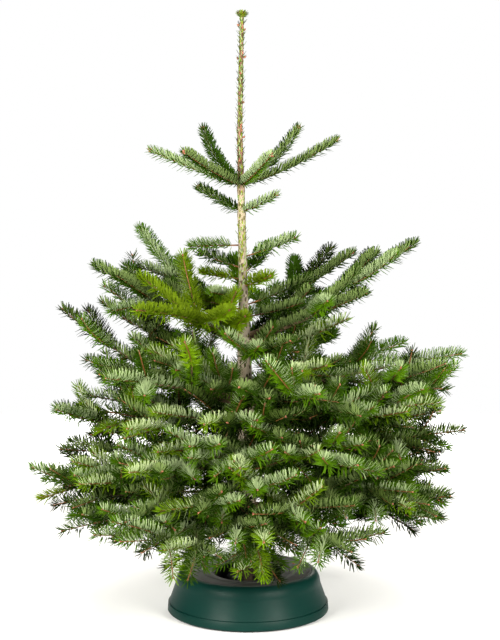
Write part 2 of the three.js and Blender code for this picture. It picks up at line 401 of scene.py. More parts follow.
UPPER_FACES = {
    Tint.SHADE: NeedleFinish("needle_upper_shade", "#111f03", 0.54, 0.03),
    Tint.DEEP: NeedleFinish("needle_upper_deep", "#233c03", 0.52, 0.04),
    Tint.LEAF: NeedleFinish("needle_upper_leaf", "#3c5d03", 0.50, 0.05),
    Tint.FRESH: NeedleFinish("needle_upper_fresh", "#557306", 0.50, 0.05),
    Tint.GOLD: NeedleFinish("needle_upper_gold", "#657d04", 0.48, 0.06),
    Tint.LIME: NeedleFinish("needle_upper_lime", "#557004", 0.50, 0.05),
}
LOWER_FACES = {
    Tint.SHADE: NeedleFinish("needle_lower_shade", "#3f5020", 0.72, 0.05),
    Tint.DEEP: NeedleFinish("needle_lower_deep", "#6a7e46", 0.70, 0.05),
    Tint.LEAF: NeedleFinish("needle_lower_leaf", "#90a373", 0.68, 0.05),
    Tint.FRESH: NeedleFinish("needle_lower_fresh", "#a6b784", 0.66, 0.05),
    Tint.GOLD: NeedleFinish("needle_lower_gold", "#76851a", 0.62, 0.06),
    Tint.LIME: NeedleFinish("needle_lower_lime", "#647b14", 0.64, 0.05),
}


@dataclass(frozen=True)
class BarkTones:
    """The three colours of a stretch of bark."""

    light: str
    dark: str
    fleck: str    # of scars, cushions and lichen


@dataclass(frozen=True)
class BarkFinish:
    """Young fir bark: smooth and dry where it is thin, and blotched and flecked where it is older.

    Blotches mix the two bark colours. Flecks a few millimetres across are the cushions and scars that
    needles leave, and lichen. The stretch draws both out along Z.
    """

    name: str
    tones: BarkTones
    fleck_share: float
    blotch_mm: float
    fleck_mm: float
    stretch: float        # how much longer than wide a fleck is
    roughness: float
    relief_mm: float

    def material(self) -> Material:
        """Makes the finish as a material.

        Returns:
            The material.
        """
        material, tree, shader, spot = new_material(self.name)
        along = add_node(tree, "ShaderNodeMapping", {"Vector": spot, "Scale": (1.0, 1.0, 1.0 / self.stretch)})
        blotch = add_node(tree, "ShaderNodeTexNoise",
                          {"Vector": along, "Scale": 1 / (self.blotch_mm * MM), "Detail": 5.0,
                           "Roughness": 0.6}, "Fac")
        tone = add_node(tree, "ShaderNodeMapRange", {"Value": blotch, "From Min": 0.36, "From Max": 0.64})
        base = add_node(tree, "ShaderNodeMix",
                        {"Factor": tone, "A": linear(self.tones.dark), "B": linear(self.tones.light)},
                        "Result", data_type="RGBA")
        flecks = add_node(tree, "ShaderNodeTexNoise",
                          {"Vector": along, "Scale": 1 / (self.fleck_mm * MM), "Detail": 2.0,
                           "Roughness": 0.5}, "Fac")
        mask = add_node(tree, "ShaderNodeMapRange", {"Value": flecks, "From Min": 0.66 - self.fleck_share,
                                                     "From Max": 0.70 - self.fleck_share})
        skin = add_node(tree, "ShaderNodeMix", {"Factor": mask, "A": base, "B": linear(self.tones.fleck)},
                        "Result", data_type="RGBA")
        bump = add_node(tree, "ShaderNodeBump",
                        {"Height": flecks, "Strength": 0.6, "Distance": self.relief_mm * MM}, "Normal")
        feed(tree, shader, {"Base Color": skin, "Roughness": self.roughness, "Specular IOR Level": 0.3,
                            "Normal": bump})
        return material


@dataclass(frozen=True)
class TrunkFinish:
    """The trunk's bark, which changes with age from the leader down to the foot, and partly with painted
    light.

    Its bands fade into each other by height, with borders made ragged by slow noise. Two of them are lighter
    or darker to offset the shade and light that fall on them. Blotches mix a band's light and dark colours,
    and upright ovals in its fleck colour are the scars that needles left.
    """

    name: str
    ages: tuple[BarkTones, ...]                 # from the foot up
    borders: tuple[tuple[float, float], ...]    # heights between which an age gives way to the next
    blotch_mm: float = 34
    scar_pitch_mm: float = 8.0
    scar_share: float = 0.37      # half-width of a scar, as a share of the pitch
    grain_mm: float = 3.0
    relief_mm: float = 0.9
    stretch: float = 2.0          # how much longer than wide a scar is
    ragged: float = 0.10          # height over which the noise moves a border
    fray: float = 0.30            # share of the pitch over which the grain moves a scar's edge
    roughness: float = 0.78
    sheen: float = 0.25           # specular level of the dry skin

    def material(self) -> Material:
        """Makes the finish as a material.

        Returns:
            The material.
        """
        material, tree, shader, spot = new_material(self.name)
        along = add_node(tree, "ShaderNodeMapping", {"Vector": spot, "Scale": (1.0, 1.0, 1.0 / self.stretch)})
        blotch = add_node(tree, "ShaderNodeTexNoise",
                          {"Vector": along, "Scale": 1 / (self.blotch_mm * MM), "Detail": 6.0,
                           "Roughness": 0.62}, "Fac")
        grain = add_node(tree, "ShaderNodeTexNoise",
                         {"Vector": along, "Scale": 1 / (self.grain_mm * MM), "Detail": 3.0,
                          "Roughness": 0.6}, "Fac")
        scars = add_node(tree, "ShaderNodeTexVoronoi",
                         {"Vector": along, "Scale": 1 / (self.scar_pitch_mm * MM), "Randomness": 0.85},
                         "Distance")
        edge = add_node(tree, "ShaderNodeMath", {0: grain, 1: self.fray, 2: scars}, operation="MULTIPLY_ADD")
        light, dark, fleck = self.tones_by_height(tree, spot, blotch)
        tone = add_node(tree, "ShaderNodeMapRange", {"Value": blotch, "From Min": 0.36, "From Max": 0.62})
        base = add_node(tree, "ShaderNodeMix", {"Factor": tone, "A": dark, "B": light}, "Result",
                        data_type="RGBA")
        rim = self.scar_share + self.fray / 2
        mask = add_node(tree, "ShaderNodeMapRange",
                        {"Value": edge, "From Min": rim + 0.05, "From Max": rim - 0.03})
        skin = add_node(tree, "ShaderNodeMix", {"Factor": mask, "A": base, "B": fleck}, "Result",
                        data_type="RGBA")
        bump = add_node(tree, "ShaderNodeBump",
                        {"Height": edge, "Strength": 0.7, "Distance": self.relief_mm * MM}, "Normal")
        feed(tree, shader, {"Base Color": skin, "Roughness": self.roughness,
                            "Specular IOR Level": self.sheen, "Normal": bump})
        return material

    def tones_by_height(self, tree: Tree, spot: Socket, noise: Socket) -> list[Socket]:
        """Mixes the bands' colours by height, which follow the bark's age and, in two bands, painted light.

        Args:
            tree: the material's node tree.
            spot: the Object coordinates.
            noise: the slow noise that makes the borders ragged.

        Returns:
            Sockets with the light, dark and fleck colours.
        """
        height = add_node(tree, "ShaderNodeSeparateXYZ", {"Vector": spot}, "Z")
        moved = add_node(tree, "ShaderNodeMath", {0: noise, 1: self.ragged, 2: height},
                         operation="MULTIPLY_ADD")
        tones = [linear(tone) for tone in astuple(self.ages[0])]
        for age, (low, high) in zip(self.ages[1:], self.borders):
            share = add_node(tree, "ShaderNodeMapRange",
                             {"Value": moved, "From Min": low + self.ragged / 2,
                              "From Max": high + self.ragged / 2})
            tones = [add_node(tree, "ShaderNodeMix", {"Factor": share, "A": below, "B": linear(above)},
                              "Result", data_type="RGBA")
                     for below, above in zip(tones, astuple(age))]
        return tones


@dataclass(frozen=True)
class PlasticFinish:
    """Injection-moulded polypropylene or nylon, with a spark-eroded grain and a satin gloss.

    The grain of a real mould is about 0.3 mm. It is drawn coarser so that it shows at all. Faint wide
    patches of gloss come from handling and from how the plastic cooled.
    """

    name: str
    colour: str
    roughness: float
    grain_mm: float
    grain_depth_mm: float
    dust: str
    dust_share: float
    shine: float = 0.5         # specular level
    patch_mm: float = 62.5
    handled: float = 0.05      # how much smoother the handled patches are
    bloomed: float = 0.07      # and how much rougher the others

    def material(self) -> Material:
        """Makes the finish as a material.

        Returns:
            The material.
        """
        material, tree, shader, spot = new_material(self.name)
        grain = add_node(tree, "ShaderNodeTexNoise",
                         {"Vector": spot, "Scale": 1 / (self.grain_mm * MM), "Detail": 2.0,
                          "Roughness": 0.6}, "Fac")
        patch = add_node(tree, "ShaderNodeTexNoise",
                         {"Vector": spot, "Scale": 1 / (self.patch_mm * MM), "Detail": 4.0}, "Fac")
        gloss = add_node(tree, "ShaderNodeMapRange",
                         {"Value": patch, "From Min": 0.3, "From Max": 0.7,
                          "To Min": self.roughness - self.handled, "To Max": self.roughness + self.bloomed})
        film = add_node(tree, "ShaderNodeMath", {0: patch, 1: grain}, operation="MULTIPLY")
        amount = add_node(tree, "ShaderNodeMath", {0: film, 1: self.dust_share}, operation="MULTIPLY")
        tone = add_node(tree, "ShaderNodeMix",
                        {"Factor": amount, "A": linear(self.colour), "B": linear(self.dust)}, "Result",
                        data_type="RGBA")
        bump = add_node(tree, "ShaderNodeBump",
                        {"Height": grain, "Strength": 0.5, "Distance": self.grain_depth_mm * MM}, "Normal")
        feed(tree, shader, {"Base Color": tone, "Roughness": gloss, "Normal": bump, "IOR": 1.5,
                            "Specular IOR Level": self.shine})
        return material


# The trunk from its foot up: soaked and nearly black, then pale grey-brown dotted with dark scars, thin grey
# with the scars still sharp, nearly parchment with green marks, and the leader's pinkish brown skin. The pale
# grey-brown band is partly painted light, made lighter against the crown's shade on it, and the thin grey
# band above it partly painted shade, made darker where more light falls.
TRUNK_BARK = TrunkFinish(
    "fir_bark_trunk",
    (BarkTones("#46382a", "#2a2118", "#1f1912"), BarkTones("#b8ae9a", "#85795f", "#352c1c"),
     BarkTones("#999081", "#766b5a", "#473d2b"), BarkTones("#a2987f", "#746650", "#5c5630"),
     BarkTones("#8c6a56", "#573a2e", "#4c3a22")),
    ((0.13, 0.17), (0.58, 0.74), (0.88, 0.96), (1.08, 1.13)))
# Boughs: brown with a grey bloom.
BARK_BOUGH = BarkFinish("fir_bark_bough", BarkTones("#78634a", "#463622", "#8f8058"),
                        0.02, 16, 3.0, 1.4, 0.78, 0.5)
# This year's twigs are reddish brown, older ones dull brown.
BARK_TWIG_NEW = BarkFinish("fir_twig_new", BarkTones("#7c4f26", "#523214", "#90693a"),
                           0.03, 9, 2.5, 1.0, 0.55, 0.2)
BARK_TWIG_OLD = BarkFinish("fir_twig_old", BarkTones("#5c482c", "#352817", "#746544"),
                           0.03, 9, 2.5, 1.0, 0.75, 0.3)
# Bud scales with a film of resin, which is why they shine.
BUD_RESIN = BarkFinish("fir_bud_resin", BarkTones("#a4694b", "#6e4030", "#bd8a6c"),
                       0.04, 4, 2.0, 1.0, 0.38, 0.2)

# The stand's moulding is dark blue-green and satin, and its plate is grey, duller and a little dusty.
SHELL_PLASTIC = PlasticFinish("polypropylene_green", "#042722", 0.42, 1.3, 0.16, "#3d5c54", 0.06, 0.09)
PLATE_PLASTIC = PlasticFinish("polypropylene_grey", "#383a39", 0.60, 1.6, 0.16, "#8b8d8a", 0.18, 0.20)
# The well lies in shade and stays nearly black. The claws are a tougher black with a faint gloss.
WELL_PLASTIC = PlasticFinish("polypropylene_black", "#0d0e0e", 0.60, 1.6, 0.10, "#2e3030", 0.12, 0.20)
CLAW_PLASTIC = PlasticFinish("nylon_black", "#17191a", 0.50, 1.2, 0.08, "#4a4c4c", 0.16, 0.25)
# Rubber is black and matt, and the float's cap a smooth bright red.
FOOT_RUBBER = PlasticFinish("rubber_black", "#111111", 0.75, 1.8, 0.12, "#3a3a3a", 0.20)
LEVEL_RED = PlasticFinish("polypropylene_red", "#a3202a", 0.35, 1.2, 0.05, "#c96a6a", 0.10)


# ---------------------------------------------------------------- reading the frame

OUTER_SLICE = 7 * MM       # depth of the slice of a bough's solid that counts as its outer end
INNER_SLICE = 12 * MM      # and as its root
ROOT_SHARE = 0.9           # a limb's radius at its root, against the furthest point of that slice
SHOOT_DROP = 4 * MM        # how far below its solid a single shoot leaves the trunk's centre line
SHOOT_RADIUS = 3.4 * MM    # of a single shoot at its root
SHOOT_ENTRY = 0.07         # share of its line before its foliage begins
MIDDLE_BAND = 0.14         # share of a shoot to each side of its middle that shows how it bends


def node_points(name: str) -> Array:
    """Reads the distinct vertices of a node of the frame.

    Args:
        name: the node's name.

    Returns:
        Points, shape (n, 3).
    """
    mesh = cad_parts[name].data
    points = np.empty(len(mesh.vertices) * 3, dtype=np.float32)
    mesh.vertices.foreach_get("co", points)
    return np.unique(points.reshape(-1, 3).astype(float).round(6), axis=0)


def sides_of(prefix: str) -> list[str]:
    """Returns what the names of the frame's nodes with a prefix say after it, in order."""
    return [name.removeprefix(prefix) for name in sorted(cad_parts) if name.startswith(prefix)]


@dataclass(frozen=True)
class TrunkLine:
    """The trunk's centre line and radius, by height."""

    heights: Array
    centres: Array
    radii: Array

    @classmethod
    def from_frame(cls) -> "TrunkLine":
        """Reads the rings of the frame's trunk.

        Returns:
            The line, with the middle and the greatest radius of each ring.
        """
        points = node_points("trunk")
        level = points[:, 2].round(4)
        heights = np.unique(level)
        rings = [points[level == z] for z in heights]
        centres = np.array([(ring[:, :2].min(0) + ring[:, :2].max(0)) / 2 for ring in rings])
        radii = np.array([np.linalg.norm(ring[:, :2] - c, axis=1).max() for ring, c in zip(rings, centres)])
        return cls(heights, centres, radii)

    def centre(self, z: Array) -> Array:
        """Finds centre points by height.

        Args:
            z: the heights.

        Returns:
            Points, shape (n, 3).
        """
        z = np.atleast_1d(z)
        x = np.interp(z, self.heights, self.centres[:, 0])
        y = np.interp(z, self.heights, self.centres[:, 1])
        return np.stack([x, y, z], axis=1)

    def radius(self, z: Array) -> Array:
        """Returns radii at heights z."""
        return np.interp(z, self.heights, self.radii)

    def distance(self, points: Array) -> Array:
        """Returns how far points are from the trunk's centre, measured level."""
        return np.linalg.norm(points[:, :2] - self.centre(points[:, 2])[:, :2], axis=1)


@dataclass(frozen=True)
class Limb:
    """The line of a bough through its foliage, from the trunk's centre to the furthest tip."""

    side: str
    start: Array
    control: Array
    tip: Array
    root_radius: float
    entry: float    # share of the line where the foliage begins

    @classmethod
    def from_bough(cls, tier: str, side: str, trunk: TrunkLine) -> "Limb":
        """Reads a bough and its foliage from the frame.

        The bough's two ends give its direction and thickness, the foliage's furthest point gives the tip,
        and the curve through all three is worked out from them.

        Args:
            tier: the whorl's name.
            side: the side that the bough points to.
            trunk: the trunk's line.

        Returns:
            The limb.
        """
        bough, mass = node_points(f"bough_{tier}_{side}"), node_points(f"foliage_{tier}_{side}")
        out = trunk.distance(bough)
        end = bough[out > out.max() - OUTER_SLICE].mean(0)
        inner = bough[out < out.min() + INNER_SLICE]
        root = inner.mean(0)
        share_in = trunk.distance(root[None])[0] / (out.max() - out.min())
        start = trunk.centre(root[2] - (end[2] - root[2]) * share_in)[0]
        tip = mass[np.argmax(np.linalg.norm(mass - start, axis=1))]
        entry = np.linalg.norm(end - start)
        entry = entry / (entry + np.linalg.norm(tip - end))
        control = (end - (1 - entry) ** 2 * start - entry ** 2 * tip) / (2 * entry * (1 - entry))
        radius = float(np.linalg.norm(inner - root, axis=1).max()) * ROOT_SHARE
        return cls(side, start, control, tip, radius, entry)

    @classmethod
    def from_shoot(cls, group: str, side: str, trunk: TrunkLine) -> "Limb":
        """Reads a single shoot from the solid of its foliage.

        The point nearest to the trunk gives the start, the furthest one the tip, and the mean of the points
        round the middle lies halfway along the curve.

        Args:
            group: the name of the group of shoots.
            side: the side that the shoot points to.
            trunk: the trunk's line.

        Returns:
            The limb.
        """
        mass = node_points(f"foliage_{group}_{side}")
        near = mass[np.argmin(trunk.distance(mass))]
        start = trunk.centre(near[2] - SHOOT_DROP)[0]
        tip = mass[np.argmax(np.linalg.norm(mass - start, axis=1))]
        along = (mass - start) @ (tip - start) / np.sum((tip - start) ** 2)
        middle = mass[np.abs(along - 0.5) < MIDDLE_BAND].mean(0)
        return cls(side, start, 2 * middle - (start + tip) / 2, tip, SHOOT_RADIUS, SHOOT_ENTRY)

    def point(self, share: Array) -> Array:
        """Returns points along the limb."""
        return bezier(self.start, self.control, self.tip, np.atleast_1d(share))

    def tangent(self, share: float) -> Array:
        """Returns the limb's direction at a share of its way."""
        return bezier_tangent(self.start, self.control, self.tip, np.array([share]))[0]

    def length(self, stops: int = 40) -> float:
        """Returns the limb's length, measured from stop to stop."""
        return float(np.linalg.norm(np.diff(self.point(np.linspace(0, 1, stops)), axis=0), axis=1).sum())


# ---------------------------------------------------------------- growth

@dataclass
class Shoot:
    """One year's growth of an axis, from one joint to the next."""

    start: Array
    control: Array
    end: Array
    age: int              # full years since it grew
    order: int            # 0 on the limb, 1 on its side axes, and so on
    radii: tuple[float, float]
    tint: Tint
    bare: float = 0.0     # share of it without needles
    twig: bool = True     # whether it needs a twig, which the limb itself doesn't


@dataclass(frozen=True)
class Habit:
    """How the boughs of one tier branch."""

    joints: tuple[float, ...]     # shares of the limb where a year's growth ended
    tints: dict[Tint, float]      # the tints that its sprays draw from, each with its weight
    side_ratio: float = 0.86      # length of a side shoot against the main one beside it
    side_angle: tuple[float, float] = (38, 54)
    lift: float = 0.04            # upward bend of side shoots as a share of their length
    tilt: float = 24              # how far side shoots turn out of the fan's plane, in degrees
    thirds: float = 0.6           # chance of a third side axis at a joint
    between: float = 0.6          # small shoots for each 100 mm of a year's growth
    clothed: float = 0.45         # needles begin at this share of the way to the foliage's solid
    shortest: float = 100 * MM
    deepest: int = 2
    sway: float = 0.11            # how far shoots bend any way, as a share of their length


# How much growth differs, as the least and the most of what a shoot draws. Angles are in degrees.
RATIO_RANGE = (0.82, 1.12)     # of a side axis's length
STEP_RANGE = (0.88, 1.15)      # of a year's length
LIFT_RANGE = (0.5, 1.4)        # of a year's upward bend
THIRD_ROLL = (38, 70)          # turn of a third side axis out of the fan's plane
SMALL_ANGLE = (48, 68)         # angle at which a small shoot leaves its parent
SMALL_LENGTH = (0.9, 1.7)      # its length against the shortest axis

THIRD_SIDES = (0.4, 0.6)       # chances of a third side axis below and above the fan
SHADED_ROLL = 45               # past this turn out of the plane, a side axis stays shorter
SHADED_RATIO = 0.78
SMALL_ROLL = 28                # spread of a small shoot's turn out of the plane
SMALL_SPAN = (0.15, 0.88)      # stretch of a year's growth that carries small shoots
ORDER_THINNING = 0.6           # how much rarer small shoots are on each further order
FOLLOW = 0.22                  # how much of its parent's direction an axis takes on each year
HEADING_SPREAD = 0.05
CONTROL_SHARE = 0.5            # where along its first direction a shoot begins to bend
MARGIN = 16 * MM               # from a limb's last bud to the limb's tip, which its needles reach
LEAST_KEPT = 0.3               # least share of a shoot that is kept where it would leave the tree's room
TIP_RADIUS = 1.25              # of this year's twigs, in mm
YEARLY_RADIUS = 0.62           # what each further year adds, in mm
FOOT_YEARS = 0.7               # years of thickening between the two ends of a year's growth
SMALL_FOOT_YEARS = 0.5         # and between those of a small shoot
# Old stretches lie deep in the crown, so darkening them is partly ageing and partly painted shade.
FRESHEST = (Tint.LIME, Tint.LEAF, Tint.DEEP, Tint.SHADE)    # freshest tint left after 0, 1, 2 and more years


class Grower:
    """Grows shoots by a branching rule: each joint carries a pair of side axes, one year younger."""

    def __init__(self, habit: Habit, seed: int) -> None:
        """Starts a bough with no shoots.

        Args:
            habit: the rule that it branches by.
            seed: the seed that it draws from.
        """
        self.habit = habit
        self.random = np.random.default_rng(seed)
        self.shoots: list[Shoot] = []

    def pick_tint(self) -> Tint:
        """Draws the tint of a new spray.

        Returns:
            One of the habit's tints, by their weights.
        """
        tints = list(self.habit.tints)
        weights = np.array([self.habit.tints[t] for t in tints])
        return tints[int(self.random.choice(len(tints), p=weights / weights.sum()))]

    @staticmethod
    def aged_and_shaded(tint: Tint, age: int) -> Tint:
        """Darkens a spray's tint on older stretches, partly because needles darken as they grow old and
        partly as painted shade for the crown's inside, where the old stretches lie. A golden spray stays as
        it is.

        Args:
            tint: the spray's tint.
            age: full years since the stretch grew.

        Returns:
            The tint of that stretch.
        """
        if tint is Tint.GOLD:
            return tint
        return Tint(min(tint.value, FRESHEST[min(age, len(FRESHEST) - 1)].value))

    @staticmethod
    def kept_inside(start: Array, end: Array) -> Array:
        """Draws the end of a shoot back to where the shoot would leave the room that the tree has.

        Args:
            start: where the shoot starts.
            end: where it would end.

        Returns:
            The end, drawn back along the shoot.
        """
        way = end - start
        room = np.where(way > 0, ROOM_HIGH, ROOM_LOW) - start
        kept = np.min(room / np.where(way == 0, TINY, way))
        return start + way * float(np.clip(kept, LEAST_KEPT, 1.0))

    @staticmethod
    def twig_radius(years_left: float) -> float:
        """Returns the radius of a twig that has that many years of growth beyond it."""
        return (TIP_RADIUS + YEARLY_RADIUS * years_left) * MM

    @staticmethod
    def turned(heading: Array, angle: float, roll: float) -> Array:
        """Turns a heading sideways by an angle, and rolls that turn about the heading.

        Args:
            heading: unit direction of the parent.
            angle: turn away from the parent in degrees, negative to the other side.
            roll: turn out of the fan's plane in degrees, positive upwards.

        Returns:
            The new unit direction.
        """
        over = upright(heading[None])[0][0]
        side = np.cross(over, heading)
        bend, roll = math.radians(abs(angle)), math.radians(roll)
        out = side * math.cos(roll) * math.copysign(1, angle) + over * math.sin(roll)
        return unit(heading * math.cos(bend) + out * math.sin(bend))

    def grow_limb(self, limb: Limb) -> None:
        """Grows the yearly shoots of a whole limb along its line.

        Args:
            limb: the line that the main axis follows.
        """
        shares = [0.0, *self.habit.joints, 1.0]
        years = len(shares) - 1
        length = limb.length()
        margin = MARGIN / length
        for year in range(years):
            low, high = shares[year], shares[year + 1] - (margin if year == years - 1 else 0)
            start, end = limb.point([low, high])
            control = 2 * limb.point((low + high) / 2)[0] - (start + end) / 2
            age = years - 1 - year
            bare = limb.entry * self.habit.clothed / high if year == 0 else 0.0
            radii = (self.twig_radius(age + 1), self.twig_radius(age))
            tint = self.aged_and_shaded(self.pick_tint(), age)
            shoot = Shoot(start, control, end, age, 0, radii, tint, bare, twig=age == 0)
            self.shoots.append(shoot)
            self.grow_between(shoot, limb.tangent((low + high) / 2), (high - low) * length)
            if age > 0:
                ahead = [(shares[k + 1] - shares[k]) * length for k in range(year + 1, years)]
                self.grow_joint(end, limb.tangent(high), ahead, 0)

    def grow_joint(self, point: Array, heading: Array, ahead: list[float], order: int) -> None:
        """Grows the side axes at a joint.

        Args:
            point: the joint.
            heading: the parent's direction there.
            ahead: lengths of the parent's years beyond the joint.
            order: the parent's order.
        """
        habit, random = self.habit, self.random
        if order >= habit.deepest:
            return
        sides = [(1, random.normal(0, habit.tilt)), (-1, random.normal(0, habit.tilt))]
        if random.random() < habit.thirds:
            side = random.choice([-1, 1])
            sides.append((side, random.choice([-1, 1], p=THIRD_SIDES) * random.uniform(*THIRD_ROLL)))
        for side, roll in sides:
            angle = side * random.uniform(*habit.side_angle)
            shaded = SHADED_RATIO if abs(roll) > SHADED_ROLL else 1.0
            ratio = habit.side_ratio * random.uniform(*RATIO_RANGE) * shaded
            self.grow_axis(point, self.turned(heading, angle, roll), heading,
                           [step * ratio for step in ahead], order + 1)

    def grow_axis(self, start: Array, heading: Array, parent: Array, steps: list[float], order: int) -> None:
        """Grows a side axis year by year.

        Args:
            start: where it leaves its parent.
            heading: its first direction.
            parent: the parent's direction, which it slowly turns towards.
            steps: the length of each of its years.
            order: its order.
        """
        habit, random = self.habit, self.random
        tint = self.pick_tint()
        if steps[0] < habit.shortest and order == habit.deepest:
            return
        steps = [step for step in steps if step >= habit.shortest] or [habit.shortest]
        for year, step in enumerate(steps):
            step *= random.uniform(*STEP_RANGE)
            bend = (UP * habit.lift * random.uniform(*LIFT_RANGE) + random.normal(0, habit.sway, 3)) * step
            end = self.kept_inside(start, start + heading * step + bend)
            control = start + heading * np.linalg.norm(end - start) * CONTROL_SHARE
            age = len(steps) - 1 - year
            radii = (self.twig_radius(age + FOOT_YEARS), self.twig_radius(age))
            shoot = Shoot(start, control, end, age, order, radii, self.aged_and_shaded(tint, age))
            self.shoots.append(shoot)
            leaving = unit(end - control)
            self.grow_between(shoot, leaving, step)
            if age > 0:
                self.grow_joint(end, leaving, steps[year + 1:], order)
            heading = unit(leaving + parent * FOLLOW + random.normal(0, HEADING_SPREAD, 3))
            start = end

    def grow_between(self, parent: Shoot, heading: Array, length: float) -> None:
        """Grows the small single shoots that stand along a year's growth, between its joints.

        Args:
            parent: that year's growth.
            heading: its direction.
            length: its length, of which each 100 mm carries the habit's number of small shoots.
        """
        habit, random = self.habit, self.random
        if parent.age == 0 or parent.order >= habit.deepest:
            return
        expected = habit.between * length * (1 - parent.bare) * 10 / (1 + ORDER_THINNING * parent.order)
        for _ in range(int(random.poisson(expected))):
            share = random.uniform(max(parent.bare, SMALL_SPAN[0]), SMALL_SPAN[1])
            point = bezier(parent.start, parent.control, parent.end, np.array([share]))[0]
            roll = random.normal(0, SMALL_ROLL)
            angle = random.choice([-1, 1]) * random.uniform(*SMALL_ANGLE)
            step = random.uniform(*SMALL_LENGTH) * habit.shortest
            direction = self.turned(heading, angle, roll)
            bend = (UP * habit.lift + random.normal(0, habit.sway, 3)) * step
            tip = self.kept_inside(point, point + direction * step + bend)
            middle = point + direction * np.linalg.norm(tip - point) * CONTROL_SHARE
            radii = (self.twig_radius(SMALL_FOOT_YEARS), self.twig_radius(0))
            self.shoots.append(Shoot(point, middle, tip, 0, parent.order + 1, radii, self.pick_tint()))


# ---------------------------------------------------------------- needles, twigs and buds as arrays

@dataclass(frozen=True)
class Brush:
    """How needles stand on a shoot."""

    per_mm: float = 1.25
    length: float = 33 * MM
    width: float = 3.0 * MM
    thickness: float = 0.6 * MM
    lean: tuple[float, float] = (72.0, 28.0)    # degrees from the twig along it and at its very tip
    habit_spread: float = 5.0     # how much that differs from shoot to shoot
    wrap: float = 114.0           # needles crowd this many degrees to each side of the top
    strays: float = 0.22          # share of them that stand anywhere, below too
    fade: tuple[float, ...] = (1.0, 0.9, 0.65, 0.4, 0.25, 0.1)   # share left after each year
    sweep: float = 0.38           # how far needles bend up from the direction in which they leave the twig
    cap: float = 15 * MM          # how far from the tip the lean falls


# A needle's outline: share of its length, of its half-width to the right and of its thickness down, of its
# foot, its two shoulders and the two corners of its blunt point.
BLADE_LENGTHS = np.array([0.0, 0.38, 0.38, 1.0, 1.0])
BLADE_SIDES = np.array([0.0, 1.0, -1.0, 0.62, -0.62])
BLADE_DROPS = np.array([0.0, 1.0, 1.0, 0.0, 0.0])
BLADE_UPPER = [(0, 1, 3), (0, 3, 4), (0, 4, 2)]
BLADE_LOWER = [(0, 2, 1), (1, 2, 4), (1, 4, 3)]

PHYLLOTAXIS = 0.61803     # turn from one needle to the next, as a share of a full one
PLACE_RANGE = (0.1, 0.9)  # where in its own stretch of the twig a needle stands
TURN_SPREAD = 0.12        # in radians, as is the roll's
ROLL_SPREAD = 0.14
LEAN_SPREAD = 3.5         # in degrees
TIP_FLARE = 0.5           # how much further round the twig needles stand at its very tip
TOP_LEAN = 5              # degrees by which those on top lean further forward
FORWARD = 0.08            # how far all bend on along the twig
FACE_BACK = 0.05          # how far their upper sides look back
TOP_LENGTH = 0.86         # length of needles on top of the twig against those at its sides
LENGTH_RANGE = (0.88, 1.08)
WIDTH_RANGE = (0.85, 1.1)
FIRST_SHARE = 0.06        # stretch at a shoot's start where needles are short
FIRST_LENGTH = 0.7
TIP_SHORTER = 0.25        # how much shorter they are at its very tip
FOOT_OUT = 0.8            # where a needle's foot sits, as a share of the twig's radius


def shoot_arrays(shoots: list[Shoot]) -> dict[str, Array]:
    """Gathers a list of shoots into arrays, one row for each.

    Args:
        shoots: the shoots.

    Returns:
        An array for each field that the meshes need, by its name.
    """
    rows = {key: np.array([getattr(shoot, key) for shoot in shoots])
            for key in ("start", "control", "end", "age", "radii", "bare")}
    rows["tint"] = np.array([shoot.tint.value for shoot in shoots])
    return rows


